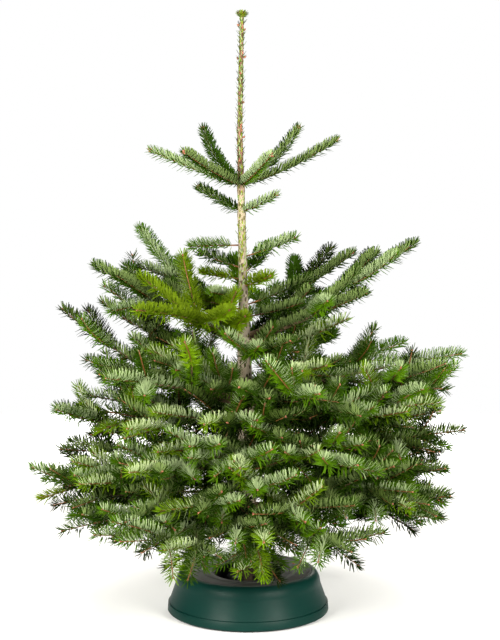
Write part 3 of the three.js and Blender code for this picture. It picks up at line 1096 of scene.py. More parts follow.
def needle_mesh(shoots: list[Shoot], brush: Brush, seed: int) -> Mesh:
    """Sets needles on shoots.

    Needles follow each other round the twig by the golden section and crowd towards its upper side. Each
    leaves the twig at its lean, then bends up at its shoulders. Its upper side looks up as far as its
    direction allows, as if its foot were twisted, so a shoot is green from above and pale from below.

    Args:
        shoots: the shoots that carry needles.
        brush: how the needles stand.
        seed: seed of the small irregularities.

    Returns:
        The mesh. Its slots are the tint for upper faces, and the tint plus the number of tints for lower.
    """
    random = np.random.default_rng(seed)
    rows = shoot_arrays(shoots)
    spans = np.linalg.norm(rows["end"] - rows["start"], axis=1)
    fade = np.array(brush.fade)[np.minimum(rows["age"], len(brush.fade) - 1)]
    counts = np.round(spans / MM * brush.per_mm * fade * (1 - np.clip(rows["bare"], 0, 1))).astype(int)
    which = np.repeat(np.arange(len(shoots)), counts)
    order = np.arange(len(which)) - np.repeat(np.cumsum(counts) - counts, counts)
    way = (order + random.uniform(*PLACE_RANGE, len(which))) / counts[which]
    share = rows["bare"][which] + (1 - rows["bare"][which]) * way
    ends = [rows[key][which] for key in ("start", "control", "end")]
    centre, tangent = bezier(*ends, share), bezier_tangent(*ends, share)
    over, side = upright(tangent)

    spiral = np.mod(order * PHYLLOTAXIS + random.uniform(0, 1, len(shoots))[which], 1) * 2 - 1
    turn = np.radians(brush.wrap) * spiral + random.normal(0, TURN_SPREAD, len(which))
    stray = random.random(len(which)) < brush.strays
    turn[stray] = np.pi * spiral[stray]
    young_tip = np.exp((way - 1) * spans[which] / brush.cap) * (rows["age"][which] == 0)
    turn = turn * (1 + TIP_FLARE * young_tip)
    lean = brush.lean[0] + random.normal(0, brush.habit_spread, len(shoots))[which]
    lean = lean + (brush.lean[1] - brush.lean[0]) * young_tip - TOP_LEAN * np.cos(turn)
    lean = np.radians(lean + random.normal(0, LEAN_SPREAD, len(which)))
    out = over * np.cos(turn)[:, None] + side * np.sin(turn)[:, None]
    leaving = tangent * np.cos(lean)[:, None] + out * np.sin(lean)[:, None]
    along = unit(leaving + over * (brush.sweep * np.abs(np.sin(turn)))[:, None] + tangent * FORWARD)
    face = unit(UP - along * along[:, 2:3] - tangent * FACE_BACK)
    across = unit(np.cross(along, face))
    roll = random.normal(0, ROLL_SPREAD, len(which))[:, None]
    across = unit(across * np.cos(roll) + face * np.sin(roll))

    length = brush.length * (TOP_LENGTH + (1 - TOP_LENGTH) * np.abs(np.sin(turn)))
    length = length * random.uniform(*LENGTH_RANGE, len(which))
    length *= np.where(way < FIRST_SHARE, FIRST_LENGTH, 1.0) * (1 - TIP_SHORTER * young_tip)
    width = brush.width * random.uniform(*WIDTH_RANGE, len(which))
    radii = rows["radii"][which]
    foot = centre + out * ((radii[:, 0] * (1 - share) + radii[:, 1] * share) * FOOT_OUT)[:, None]
    points = blade_points(foot, leaving, along, across, length, width, brush.thickness)
    triangles = copied(np.array(BLADE_UPPER + BLADE_LOWER), len(which), len(BLADE_LENGTHS))
    slots = rows["tint"][which][:, None] + np.repeat([0, len(Tint)], [len(BLADE_UPPER), len(BLADE_LOWER)])
    return points, triangles, slots.reshape(-1)


def blade_points(foot: Array, leaving: Array, along: Array, across: Array, length: Array, width: Array,
                 thickness: float) -> Array:
    """Draws the closed straps of needles, narrow at the foot and blunt at the point.

    The upper side is flat along the middle and slopes to both edges. A point is the foot plus shares of the
    length along, of the half-width across and of the thickness down. Up to the shoulders the needle runs the
    way it leaves the twig.

    Args:
        foot: where each needle starts.
        leaving: its direction up to its shoulders.
        along: its direction beyond them.
        across: its sideways axis.
        length: its length.
        width: its greatest width.
        thickness: the thickness of all.

    Returns:
        Points, five for each needle.
    """
    bend = (leaving - along) * (length * BLADE_LENGTHS[1])[:, None]
    ahead = along[:, None] * (length[:, None] * BLADE_LENGTHS)[..., None]
    ahead[:, 1:] += bend[:, None]
    aside = across[:, None] * (width[:, None] / 2 * BLADE_SIDES)[..., None]
    drop = np.cross(across, along)[:, None] * (thickness * BLADE_DROPS)[:, None]
    return (foot[:, None] + ahead + aside - drop).reshape(-1, 3)


def tube_mesh(centres: Array, radii: Array, sides: int) -> tuple[Array, Array]:
    """Carries round sections along many lines at once and closes both ends.

    A point is its line's point plus the radius times cosine upwards and times sine sideways.

    Args:
        centres: points of each line, shape (lines, rings, 3).
        radii: radius at each ring, shape (lines, rings), or (lines, rings, sides) for an uneven skin.
        sides: points round each section.

    Returns:
        Points and triangles of all the tubes.
    """
    lines, rings, _ = centres.shape
    tangents = unit(np.gradient(centres, axis=1))
    over, side = (a.reshape(lines, rings, 3) for a in upright(tangents.reshape(-1, 3)))
    angle = turns(sides)
    radii = radii[..., None] if radii.ndim == 2 else radii
    skin = (centres[:, :, None]
            + over[:, :, None] * (np.cos(angle) * radii)[..., None]
            + side[:, :, None] * (np.sin(angle) * radii)[..., None])
    points = np.concatenate([skin.reshape(lines, -1, 3), centres[:, :1], centres[:, -1:]], axis=1)
    foot = fan(rings * sides, 0, sides, flipped=True)
    head = fan(rings * sides + 1, (rings - 1) * sides, sides)
    one = np.concatenate([grid_triangles(rings, sides), foot, head])
    return points.reshape(-1, 3), copied(one, lines, points.shape[1])


def twig_mesh(shoots: list[Shoot], rings: int = 5, sides: int = 6) -> Mesh:
    """Makes the twigs of shoots as tapering tubes that swell a little where they join.

    Args:
        shoots: the shoots that need a twig.
        rings: sections along each twig.
        sides: sides of each section.

    Returns:
        The mesh. Its slots are 0 for this year's bark and 1 for older bark.
    """
    rows = shoot_arrays(shoots)
    share = np.linspace(0, 1, rings)
    ends = [rows[key][:, None] for key in ("start", "control", "end")]
    centres = bezier(*ends, np.broadcast_to(share, (len(shoots), rings)))
    radii = rows["radii"][:, :1] * (1 - share) + rows["radii"][:, 1:] * share
    radii = radii * (1 + 0.22 * swelling(share, 0.02, 0.08))
    points, triangles = tube_mesh(centres, radii, sides)
    slots = np.repeat((rows["age"] > 0).astype(int), len(triangles) // len(shoots))
    return points, triangles, slots


BUD_SIDES = 5
BUD_GIRTH = 0.36      # a bud's greatest radius, and where along it that lies, as shares of its length
BUD_SLANT = 0.85      # lean of the smaller buds away from the end bud, in radians
BUD_SMALLER = 0.82    # their length against its own
BUD_RANGE = (0.85, 1.15)
BUD_SUNK = 1.2 * MM   # how deep a bud's foot sits in the twig


def bud_mesh(shoots: list[Shoot], seed: int, length: float = 7 * MM, beside: int = 2) -> tuple[Array, Array]:
    """Sets a bud on the end of each of this year's shoots, with smaller ones beside it.

    A bud is a spindle: one ring of points a third of the way along, closed by a point at each end.

    Args:
        shoots: the shoots that end in buds.
        seed: seed of the small irregularities.
        length: length of the end bud.
        beside: how many smaller ones stand round it.

    Returns:
        Points and triangles.
    """
    random = np.random.default_rng(seed)
    rows = shoot_arrays(shoots)
    count = len(shoots)
    heading = unit(rows["end"] - rows["control"])
    over, side = upright(heading)
    around = random.uniform(0, 2 * np.pi, count)[:, None] + np.append(0, turns(beside))
    slant = np.append(0, np.full(beside, BUD_SLANT))
    smaller = np.append(1.0, np.full(beside, BUD_SMALLER))
    size = (smaller * random.uniform(*BUD_RANGE, (count, beside + 1)) * length).reshape(-1, 1)
    out = over[:, None] * np.cos(around)[..., None] + side[:, None] * np.sin(around)[..., None]
    axis = unit(heading[:, None] * np.cos(slant)[:, None] + out * np.sin(slant)[:, None]).reshape(-1, 3)
    foot = np.repeat(rows["end"], beside + 1, axis=0) - axis * BUD_SUNK
    over, side = upright(axis)
    turn = turns(BUD_SIDES)
    ring = over[:, None] * np.cos(turn)[:, None] + side[:, None] * np.sin(turn)[:, None]
    ring = (foot + axis * size * BUD_GIRTH)[:, None] + ring * (size * BUD_GIRTH)[:, None]
    points = np.concatenate([foot[:, None], (foot + axis * size)[:, None], ring], axis=1)
    one = np.concatenate([fan(0, 2, BUD_SIDES, flipped=True), fan(1, 2, BUD_SIDES)])
    return points.reshape(-1, 3), copied(one, len(foot), points.shape[1])


# ---------------------------------------------------------------- the plant

class FoliageMaterials:
    """The needle, twig and bud materials that every tier shares."""

    def __init__(self) -> None:
        """Makes each material once."""
        self.needles = [faces[tint].material() for faces in (UPPER_FACES, LOWER_FACES) for tint in Tint]
        self.twigs = [BARK_TWIG_NEW.material(), BARK_TWIG_OLD.material()]
        self.bud = BUD_RESIN.material()
        self.bough = BARK_BOUGH.material()


@dataclass
class Tier:
    """One whorl of boughs with everything that grows on them."""

    name: str
    habit: Habit
    seed: int
    brush: Brush = field(default_factory=Brush)
    bud: tuple[float, int] = (7 * MM, 2)    # length of an end bud, and how many stand round it
    odd_ones: dict[str, tuple[Habit, int]] = field(default_factory=dict)    # sides that differ in these
    bough_sides: int = 12        # points round a bough
    bough_step: float = 5 * MM
    seed_step: int = 101         # from one bough's seed to the next one's
    taper: float = 0.8           # below 1 a bough keeps its thickness longer
    joint_swelling: float = 0.16
    root_swelling: float = 0.14
    cushion_relief: float = 0.045

    def limbs(self, trunk: TrunkLine) -> list[Limb]:
        """Finds the tier's limbs, from its boughs or, on a whorl of single shoots, from their foliage.

        Args:
            trunk: the trunk's line.

        Returns:
            The limbs, in the order of their sides' names.
        """
        boughs = sides_of(f"bough_{self.name}_")
        if boughs:
            return [Limb.from_bough(self.name, side, trunk) for side in boughs]
        return [Limb.from_shoot(self.name, side, trunk) for side in sides_of(f"foliage_{self.name}_")]

    def grow(self, limb: Limb, index: int) -> list[Shoot]:
        """Grows the shoots of one limb.

        Args:
            limb: the limb.
            index: its place in the tier, which gives its seed.

        Returns:
            Its shoots.
        """
        grower = Grower(*self.odd_ones.get(limb.side, (self.habit, self.seed + self.seed_step * index)))
        grower.grow_limb(limb)
        return grower.shoots

    def build(self, trunk: TrunkLine, materials: FoliageMaterials) -> None:
        """Builds the tier's pieces.

        Args:
            trunk: the trunk's line.
            materials: the materials that the tiers share.
        """
        limbs = self.limbs(trunk)
        grown = {limb.side: self.grow(limb, index) for index, limb in enumerate(limbs)}
        everything = [shoot for shoots in grown.values() for shoot in shoots]
        LOG.info("%s: %d shoots on %d limbs", self.name, len(everything), len(limbs))
        self.build_needles(grown, materials)
        points, triangles, slots = twig_mesh([shoot for shoot in everything if shoot.twig])
        place(make_piece(f"twigs_{self.name}", points, triangles, materials.twigs, slots), "bough_bark")
        points, triangles = bud_mesh([shoot for shoot in everything if shoot.age == 0], self.seed, *self.bud)
        place(make_piece(f"buds_{self.name}", points, triangles, [materials.bud]), "bough_bark")
        if sides_of(f"bough_{self.name}_"):
            self.build_boughs(limbs, materials)

    def build_needles(self, grown: dict[str, list[Shoot]], materials: FoliageMaterials) -> None:
        """Joins the needles of neighbouring masses into pieces that stay under the limit.

        Args:
            grown: the shoots of each side.
            materials: the materials that the tiers share.
        """
        batches: list[dict[str, Mesh]] = [{}]
        for index, (side, shoots) in enumerate(grown.items()):
            mesh = needle_mesh(shoots, self.brush, self.seed + index)
            so_far = sum(len(other[1]) for other in batches[-1].values())
            if batches[-1] and so_far + len(mesh[1]) > PIECE_LIMIT:
                batches.append({})
            batches[-1][side] = mesh
        for batch in batches:
            points, triangles, slots = joined(list(batch.values()))
            piece = make_piece(f"needles_{self.name}_{next(iter(batch))}", points, triangles,
                               materials.needles, slots, smooth_shaded=False)
            masses = [f"foliage_{self.name}_{side}" for side in batch]
            place(piece, "foliage", *[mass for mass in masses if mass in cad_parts])

    def build_boughs(self, limbs: list[Limb], materials: FoliageMaterials) -> None:
        """Makes the boughs' bark, from inside the trunk to the last joint.

        The radius tapers from the frame's bough to a twig's, swells at each joint, and carries the low
        spiral of cushions that fallen needles leave.

        Args:
            limbs: the limbs that the boughs follow.
            materials: the materials that the tiers share.
        """
        end = self.habit.joints[-1]
        rings = int(max(limb.length() for limb in limbs) * end / self.bough_step)
        share = np.linspace(0, end, rings)
        centres = np.stack([limb.point(share) for limb in limbs])
        root = np.array([limb.root_radius for limb in limbs])[:, None]
        last = Grower.twig_radius(1)
        radii = last + (root - last) * (1 - share / end) ** self.taper
        for joint in self.habit.joints:
            radii = radii * (1 + self.joint_swelling * swelling(share, joint - 0.004, 0.012))
        radii = radii * (1 + self.root_swelling * swelling(share, 0, 0.06))
        turn = turns(self.bough_sides)
        step = np.arange(rings)[:, None]
        cushions = np.sin(3 * turn + step * 1.25) * np.sin(step * 0.8 + 2 * turn)
        skin = radii[..., None] * (1 + self.cushion_relief * cushions)
        points, triangles = tube_mesh(centres, skin, self.bough_sides)
        piece = make_piece(f"bough_bark_{self.name}", points, triangles, [materials.bough])
        place(piece, "bough_bark", *[f"bough_{self.name}_{limb.side}" for limb in limbs])


@dataclass(frozen=True)
class Sprig:
    """A side bough that springs from the trunk between two whorls."""

    root: float        # height of its foot
    azimuth: float     # degrees from +X towards +Y
    reach: float       # of its tip, from the trunk's centre
    tip: float         # height of its tip
    late: float = 0.2  # 0 for an even curve, up to 1 where it lies level and turns up or down at the end
    radius: float = 3.2 * MM
    entry: float = 0.2    # share of it without needles, before the habit's own

    def limb(self, side: str, trunk: TrunkLine) -> Limb:
        """Lays out the sprig's line. Its control point lies halfway, and further out and less high when late.

        Args:
            side: the name that it gets.
            trunk: the trunk's line.

        Returns:
            The limb.
        """
        azimuth = math.radians(self.azimuth)
        out = np.array([math.cos(azimuth), math.sin(azimuth), 0]) * self.reach
        rise = UP * (self.tip - self.root)
        start = trunk.centre(self.root)[0]
        control = start + out * (0.5 + 0.4 * self.late) + rise * (0.5 - 0.4 * self.late)
        return Limb(side, start, control, start + out + rise, self.radius, self.entry)


@dataclass
class Sprigs(Tier):
    """The side boughs between two whorls."""

    sprigs: tuple[Sprig, ...] = ()

    def limbs(self, trunk: TrunkLine) -> list[Limb]:
        """Returns a limb for each sprig, named by its number."""
        return [sprig.limb(f"{index}", trunk) for index, sprig in enumerate(self.sprigs)]


@dataclass(frozen=True)
class Coat:
    """Needles that grow straight on the trunk, between two heights."""

    low: float
    high: float    # 0 for the leader's tuft
    tints: tuple[Tint, ...]
    brush: Brush


LEADER_FOOT = 1.104    # height above which the trunk is this year's growth
# The leader has pressed olive needles and dark ones that stand off. Older trunk keeps only a few.
ON_TRUNK = Brush(length=14 * MM, width=2.6 * MM, habit_spread=2.0, wrap=180.0, strays=1.0, sweep=0.0)
TRUNK_COATS = (
    Coat(LEADER_FOOT, 0.0, (Tint.GOLD, Tint.LEAF, Tint.DEEP),
         replace(ON_TRUNK, per_mm=0.26, lean=(13.0, 13.0))),
    Coat(LEADER_FOOT, 0.0, (Tint.SHADE, Tint.DEEP),
         replace(ON_TRUNK, per_mm=0.20, length=17 * MM, lean=(40.0, 40.0))),
    Coat(0.840, LEADER_FOOT, (Tint.GOLD, Tint.LEAF),
         replace(ON_TRUNK, per_mm=0.42, length=18 * MM, width=3.4 * MM, lean=(10.0, 10.0))),
    Coat(0.680, 1.000, (Tint.LEAF, Tint.GOLD),
         replace(ON_TRUNK, per_mm=0.16, length=18 * MM, lean=(44.0, 44.0))),
)
TUFT_BRUSH = replace(ON_TRUNK, per_mm=2.8, length=17 * MM, width=2.8 * MM, habit_spread=5.0,
                     lean=(38.0, 24.0))


@dataclass
class Trunk:
    """The trunk with its bark's relief, and the leader's short needles and buds."""

    line: TrunkLine
    materials: FoliageMaterials
    whorls: tuple[float, ...] = (0.272, 0.392, 0.549, 0.709, 1.036, LEADER_FOOT)
    sides: int = 44
    step: float = 2.8 * MM
    blunt: float = 14 * MM        # of bark left off below the frame's tip, where the tuft stands
    collar: float = 0.20          # swelling at a whorl, as a share of the radius
    collar_below: float = 20 * MM    # how far the swelling reaches below and above a whorl
    collar_above: float = 8 * MM
    scar_pitch: float = 9 * MM
    scar_relief: float = 0.030
    ripple_relief: float = 0.03
    stretch: float = 24 * MM      # length of trunk that is dressed at a time
    tuft_drop: float = 18 * MM    # of the tuft's foot below the very top
    tuft_shoots: int = 7
    side_bud_count: int = 16
    seed: int = 20418

    def build(self) -> None:
        """Builds the trunk's pieces."""
        self.build_bark()
        self.build_leader()

    def relief(self, turn: Array, z: Array) -> Array:
        """Works out how far the bark stands out, as a share of the radius.

        Collars at the whorls, a net of low scars on crossing spirals, and long slow ripples add up.

        Args:
            turn: angle round the trunk.
            z: height.

        Returns:
            The share, for each angle and height.
        """
        collars = sum(swelling(z, whorl, np.where(z < whorl, self.collar_below, self.collar_above))
                      for whorl in self.whorls)
        rows = z / self.scar_pitch * 2 * np.pi
        scars = np.sin(5 * turn + rows) * np.sin(5 * turn - rows)
        ripple = (np.sin(2 * turn + z * 31) * 0.4 + np.sin(3 * turn - z * 83) * 0.3
                  + np.sin(turn + z * 190) * 0.2)
        return self.collar * collars + self.scar_relief * scars + self.ripple_relief * ripple

    def build_bark(self) -> None:
        """Makes the trunk as one closed skin, with a flat cut below and a blunt tip."""
        low, high = self.line.heights[0], self.line.heights[-1]
        z = np.linspace(low, high - self.blunt, int((high - low) / self.step))
        radii = self.line.radius(z)[:, None] * (1 + self.relief(turns(self.sides)[None], z[:, None]))
        points, triangles = tube_mesh(self.line.centre(z)[None], radii[None], self.sides)
        place(make_piece("trunk_bark", points, triangles, [TRUNK_BARK.material()]), "bark", "trunk")

    def build_leader(self) -> None:
        """Sets pressed and standing needles and scattered buds up the trunk, and a tuft on its tip."""
        top = self.line.heights[-1] - self.tuft_drop
        tuft = self.tuft(self.line.centre(top)[0])
        coats = [needle_mesh(self.stretches(coat.low, coat.high or top, coat.tints), coat.brush,
                             self.seed + index) for index, coat in enumerate(TRUNK_COATS)]
        points, triangles, slots = joined([*coats, needle_mesh(tuft, TUFT_BRUSH, self.seed - 1)])
        place(make_piece("needles_leader", points, triangles, self.materials.needles, slots,
                         smooth_shaded=False), "foliage")
        points, triangles = bud_mesh([*self.side_buds(), *tuft], self.seed + 3, 9 * MM)
        place(make_piece("buds_leader", points, triangles, [self.materials.bud]), "bough_bark")

    def stretches(self, low: float, high: float, tints: tuple[Tint, ...]) -> list[Shoot]:
        """Divides the trunk into shoots that carry needles.

        Args:
            low: height at which they begin.
            high: height at which they end.
            tints: the tints of their needles.

        Returns:
            A straight shoot for each stretch and tint.
        """
        stops = self.line.centre(np.linspace(low, high, int((high - low) / self.stretch) + 1))
        radii = [float(radius) for radius in self.line.radius(stops[:, 2])]
        return [Shoot(stops[i], (stops[i] + stops[i + 1]) / 2, stops[i + 1], 0, 0, (radii[i], radii[i + 1]),
                      tint) for i in range(len(stops) - 1) for tint in tints]

    def tuft(self, foot: Array) -> list[Shoot]:
        """Makes the stubby shoots that crowd the leader's tip in a ring.

        Args:
            foot: the point from which they all spread.

        Returns:
            The shoots, dark and golden in turn.
        """
        turn = turns(self.tuft_shoots) + 0.4
        ways = np.stack([np.cos(turn) * 0.9, np.sin(turn) * 0.9, np.ones(self.tuft_shoots)], axis=1) * 8 * MM
        tints = (Tint.DEEP, Tint.GOLD)
        return [Shoot(foot, foot + way / 2, foot + way, 0, 0, (2 * MM, 1.5 * MM), tints[index % len(tints)])
                for index, way in enumerate(ways)]

    def side_buds(self) -> list[Shoot]:
        """Scatters tiny stubs up the leader that end in buds.

        Returns:
            The stubs, as shoots of 2 mm that stand out from its skin.
        """
        random = np.random.default_rng(self.seed + 4)
        count = self.side_bud_count
        z = np.sort(random.uniform(LEADER_FOOT + 30 * MM, self.line.heights[-1] - 40 * MM, count))
        turn = random.uniform(0, 2 * np.pi, count)
        out = np.stack([np.cos(turn), np.sin(turn), np.full(count, 0.8)], axis=1)
        skin = self.line.centre(z) + out * self.line.radius(z)[:, None] * np.array([1, 1, 0])
        return [Shoot(p, p + o * MM, p + o * 2 * MM, 0, 0, (MM, MM), Tint.GOLD) for p, o in zip(skin, out)]


# ---------------------------------------------------------------- the stand

SHARP = math.radians(34)    # edges between faces that meet more steeply than this stay crisp


def lathe(name: str, outline: Array, finish: Material, sides: int = 144) -> Piece:
    """Turns a closed outline of (radius, height) about the stand's axis.

    Args:
        name: the piece's name.
        outline: points anticlockwise round the section, shape (n, 2), with the first not repeated.
        finish: its material.
        sides: steps round the axis.

    Returns:
        The piece.
    """
    triangles = grid_triangles(len(outline) + 1, sides) % (len(outline) * sides)
    piece = make_piece(name, revolved(outline, sides).reshape(-1, 3), triangles[:, ::-1], [finish])
    piece.data.set_sharp_from_angle(angle=SHARP)
    return piece


def rounded(points: list[tuple[float, float]], radius: float, steps: int = 4, most: float = 0.45) -> Array:
    """Rounds the corners of a closed outline with quadratic arcs.

    Args:
        points: the outline's corners.
        radius: how far from each corner its arc begins, where the edges are long enough.
        steps: points on each arc.
        most: share of an edge that an arc may take.

    Returns:
        The rounded outline, shape (n, 2).
    """
    corners = np.array(points, dtype=float)
    before, after = np.roll(corners, 1, axis=0), np.roll(corners, -1, axis=0)
    reach_in = np.minimum(radius, np.linalg.norm(before - corners, axis=1) * most)[:, None]
    reach_out = np.minimum(radius, np.linalg.norm(after - corners, axis=1) * most)[:, None]
    first, last = corners + unit(before - corners) * reach_in, corners + unit(after - corners) * reach_out
    share = np.broadcast_to(np.linspace(0, 1, steps), (len(corners), steps))
    return bezier(first[:, None], corners[:, None], last[:, None], share).reshape(-1, 2)


@dataclass
class Stand:
    """The stand: outer moulding, top plate, well, claws and base, at the sizes of the frame's nodes."""

    wall: float = 4 * MM
    band_height: float = 27 * MM       # of the plain band round the foot
    band_step: float = 3.4 * MM        # how far it stands proud of the cone
    shoulder_start: float = 75 * MM
    shoulder_radius: float = 189 * MM
    dish_depth: float = 5 * MM         # of the top plate, below its rolled edge
    ridge_radius: float = 114 * MM
    ridge_height: float = 2.4 * MM
    boss_radius: float = 31 * MM       # of the boss in the well that carries the trunk
    boss_height: float = 14 * MM
    floor: float = 6 * MM              # height of the well's floor
    axis_hole: float = 0.5 * MM        # radius of the opening in the well's middle, which the trunk covers
    base_mouth: float = 92.3 * MM      # radius of the base plate's opening, round the well
    base_height: float = 2.2 * MM      # of its underside
    foot_count: int = 6
    foot_radius: float = 194 * MM      # distance of a foot's middle from the axis
    foot_size: tuple[float, float] = (8 * MM, 14 * MM)    # half-length towards the axis, half-width
    foot_heights: tuple[float, float, float] = (2.6 * MM, 0.8 * MM, 0.0)    # of its top, edge and sole
    foot_squareness: float = 0.35      # 1 would make it an oval, and 0 a sharp rectangle
    sole_size: float = 0.93
    foot_sides: int = 24
    cap_sides: int = 24
    cap_spot: tuple[float, float] = (140 * MM, 30.0)      # the float's cap: distance from the axis, azimuth

    def build(self) -> None:
        """Builds the stand's pieces."""
        self.build_shell()
        self.build_plate()
        self.build_well()
        self.dress_cad("stand_clamp", CLAW_PLASTIC.material())
        self.build_base()
        self.build_feet()
        self.build_level_cap()

    def build_shell(self) -> None:
        """Turns the green moulding: a band round the foot, a cone that steps in above it, and a shoulder.

        The shoulder is a quadratic arc from the cone to the top plate's edge.
        """
        low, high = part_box("stand_shell")
        edge = high.x - 1.2 * MM
        cone_foot, band = edge - self.band_step, self.band_height
        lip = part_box("stand_top_plate")[1].x + 0.6 * MM
        arc = bezier(np.array([self.shoulder_radius, self.shoulder_start]),
                     np.array([self.shoulder_radius - 3 * MM, high.z - 1 * MM]),
                     np.array([lip, high.z]), np.linspace(0, 1, 14))
        outer = np.array([(high.x - 1.5 * MM, low.z), (high.x, low.z + 2 * MM), (edge, band - 1.4 * MM),
                          (edge - 0.9 * MM, band), (cone_foot - 0.6 * MM, band - 0.4 * MM),
                          (cone_foot, band + 1.2 * MM), *arc])
        inner = np.array([(lip, high.z - 3.2 * MM), (lip - 6 * MM, high.z - 3.4 * MM),
                          (lip - 6 * MM, high.z - 8 * MM),
                          (self.shoulder_radius - self.wall, self.shoulder_start),
                          (high.x - self.wall, low.z)])
        piece = lathe("shell", np.concatenate([outer, inner]), SHELL_PLASTIC.material())
        place(piece, "stand_shell", "stand_shell")

    def build_plate(self) -> None:
        """Turns the top plate: a rolled edge, a shallow dish, a low ridge and a rounded mouth."""
        low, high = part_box("stand_top_plate")
        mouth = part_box("stand_well")[1].x + 0.3 * MM
        edge, dish, ridge = high.z, high.z - self.dish_depth, self.ridge_radius
        ridge_top, rim_under = dish + self.ridge_height, low.z + 4.8 * MM
        upper = [(high.x, edge - 2 * MM), (high.x - 1.5 * MM, edge), (high.x - 5 * MM, edge - 0.3 * MM),
                 (high.x - 12 * MM, edge - 2.4 * MM), (ridge + 6 * MM, dish), (ridge + 2.6 * MM, ridge_top),
                 (ridge - 2.6 * MM, ridge_top), (ridge - 6 * MM, dish), (mouth + 3 * MM, dish),
                 (mouth, dish - 2.5 * MM)]
        lower = [(mouth, low.z), (ridge, low.z), (high.x - 9 * MM, rim_under), (high.x, rim_under)]
        piece = lathe("top_plate", rounded(upper + lower, 1.6 * MM), PLATE_PLASTIC.material())
        place(piece, "stand_plate", "stand_top_plate")

    def build_well(self) -> None:
        """Turns the well as a thin cup with a rolled rim and a boss that carries the trunk."""
        low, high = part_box("stand_well")
        inside = high.x - self.wall
        outline = [(self.axis_hole, low.z), (high.x, low.z), (high.x, high.z), (inside, high.z),
                   (inside, self.floor), (self.boss_radius + 3 * MM, self.floor),
                   (self.boss_radius, self.boss_height), (self.axis_hole, self.boss_height)]
        place(lathe("well", rounded(outline, 1.2 * MM), WELL_PLASTIC.material()), "stand_well", "stand_well")

    def build_base(self) -> None:
        """Turns the base plate."""
        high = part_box("stand_base")[1]
        outline = [(self.base_mouth, self.base_height), (high.x, self.base_height), (high.x, high.z),
                   (self.base_mouth, high.z)]
        base = lathe("base", rounded(outline, 0.8 * MM, 3), FOOT_RUBBER.material())
        place(base, "stand_base", "stand_base")

    def build_feet(self) -> None:
        """Makes rounded feet under the rim, evenly spaced with one at the front.

        Seen from above a foot is a rounded rectangle: cosine and sine keep their signs, and their sizes are
        raised to a power below one. It has a straight wall and a smaller sole, each closed by a fan.
        """
        sides, middle = self.foot_sides, (self.foot_radius, 0.0)
        circle = revolved(np.array([(1.0, 0.0)]), sides)[0, :, :2]
        plan = np.sign(circle) * np.abs(circle) ** self.foot_squareness * np.array(self.foot_size)
        top, sole_edge, sole = self.foot_heights
        rings = [np.column_stack([plan * size + middle, np.full(sides, z)])
                 for size, z in ((1.0, top), (1.0, sole_edge), (self.sole_size, sole))]
        one = np.concatenate([*rings, [(*middle, top), (*middle, sole)]])
        angle = turns(self.foot_count) - np.pi / 2
        x = one[:, 0] * np.cos(angle)[:, None] - one[:, 1] * np.sin(angle)[:, None]
        y = one[:, 0] * np.sin(angle)[:, None] + one[:, 1] * np.cos(angle)[:, None]
        points = np.stack([x, y, np.broadcast_to(one[:, 2], x.shape)], axis=-1)
        triangles = np.concatenate([grid_triangles(3, sides)[:, ::-1], fan(3 * sides, 0, sides),
                                    fan(3 * sides + 1, 2 * sides, sides, flipped=True)])
        piece = make_piece("feet", points.reshape(-1, 3), copied(triangles, self.foot_count, len(one)),
                           [FOOT_RUBBER.material()])
        place(piece, "stand_base")

    def build_level_cap(self) -> None:
        """Makes the small red cap of the water-level float, in the plate's dish."""
        distance, azimuth = self.cap_spot[0], math.radians(self.cap_spot[1])
        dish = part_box("stand_top_plate")[1].z - self.dish_depth
        profile = np.array([(0.01, 3.6), (2.4, 3.4), (4.2, 2.4), (4.6, 0.4), (4.6, -1.0)]) * MM
        rings, sides = len(profile), self.cap_sides
        points = np.concatenate([revolved(profile, sides).reshape(-1, 3), [[0, 0, profile[-1, 1]]]])
        points += np.array([distance * math.cos(azimuth), distance * math.sin(azimuth), dish])
        under = fan(rings * sides, (rings - 1) * sides, sides, flipped=True)
        triangles = np.concatenate([grid_triangles(rings, sides)[:, ::-1], under])
        place(make_piece("level_cap", points, triangles, [LEVEL_RED.material()]), "stand_plate")

    @staticmethod
    def dress_cad(node: str, finish: Material) -> None:
        """Gives a node of the frame a better material.

        Args:
            node: the node's name.
            finish: the material.
        """
        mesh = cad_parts[node].data
        mesh.materials.clear()
        mesh.materials.append(finish)


# ---------------------------------------------------------------- the studio

@dataclass(frozen=True)
class Softbox:
    """A rectangular light."""

    name: str
    spot: tuple[float, float, float]
    size: tuple[float, float]
    power: float    # in watts


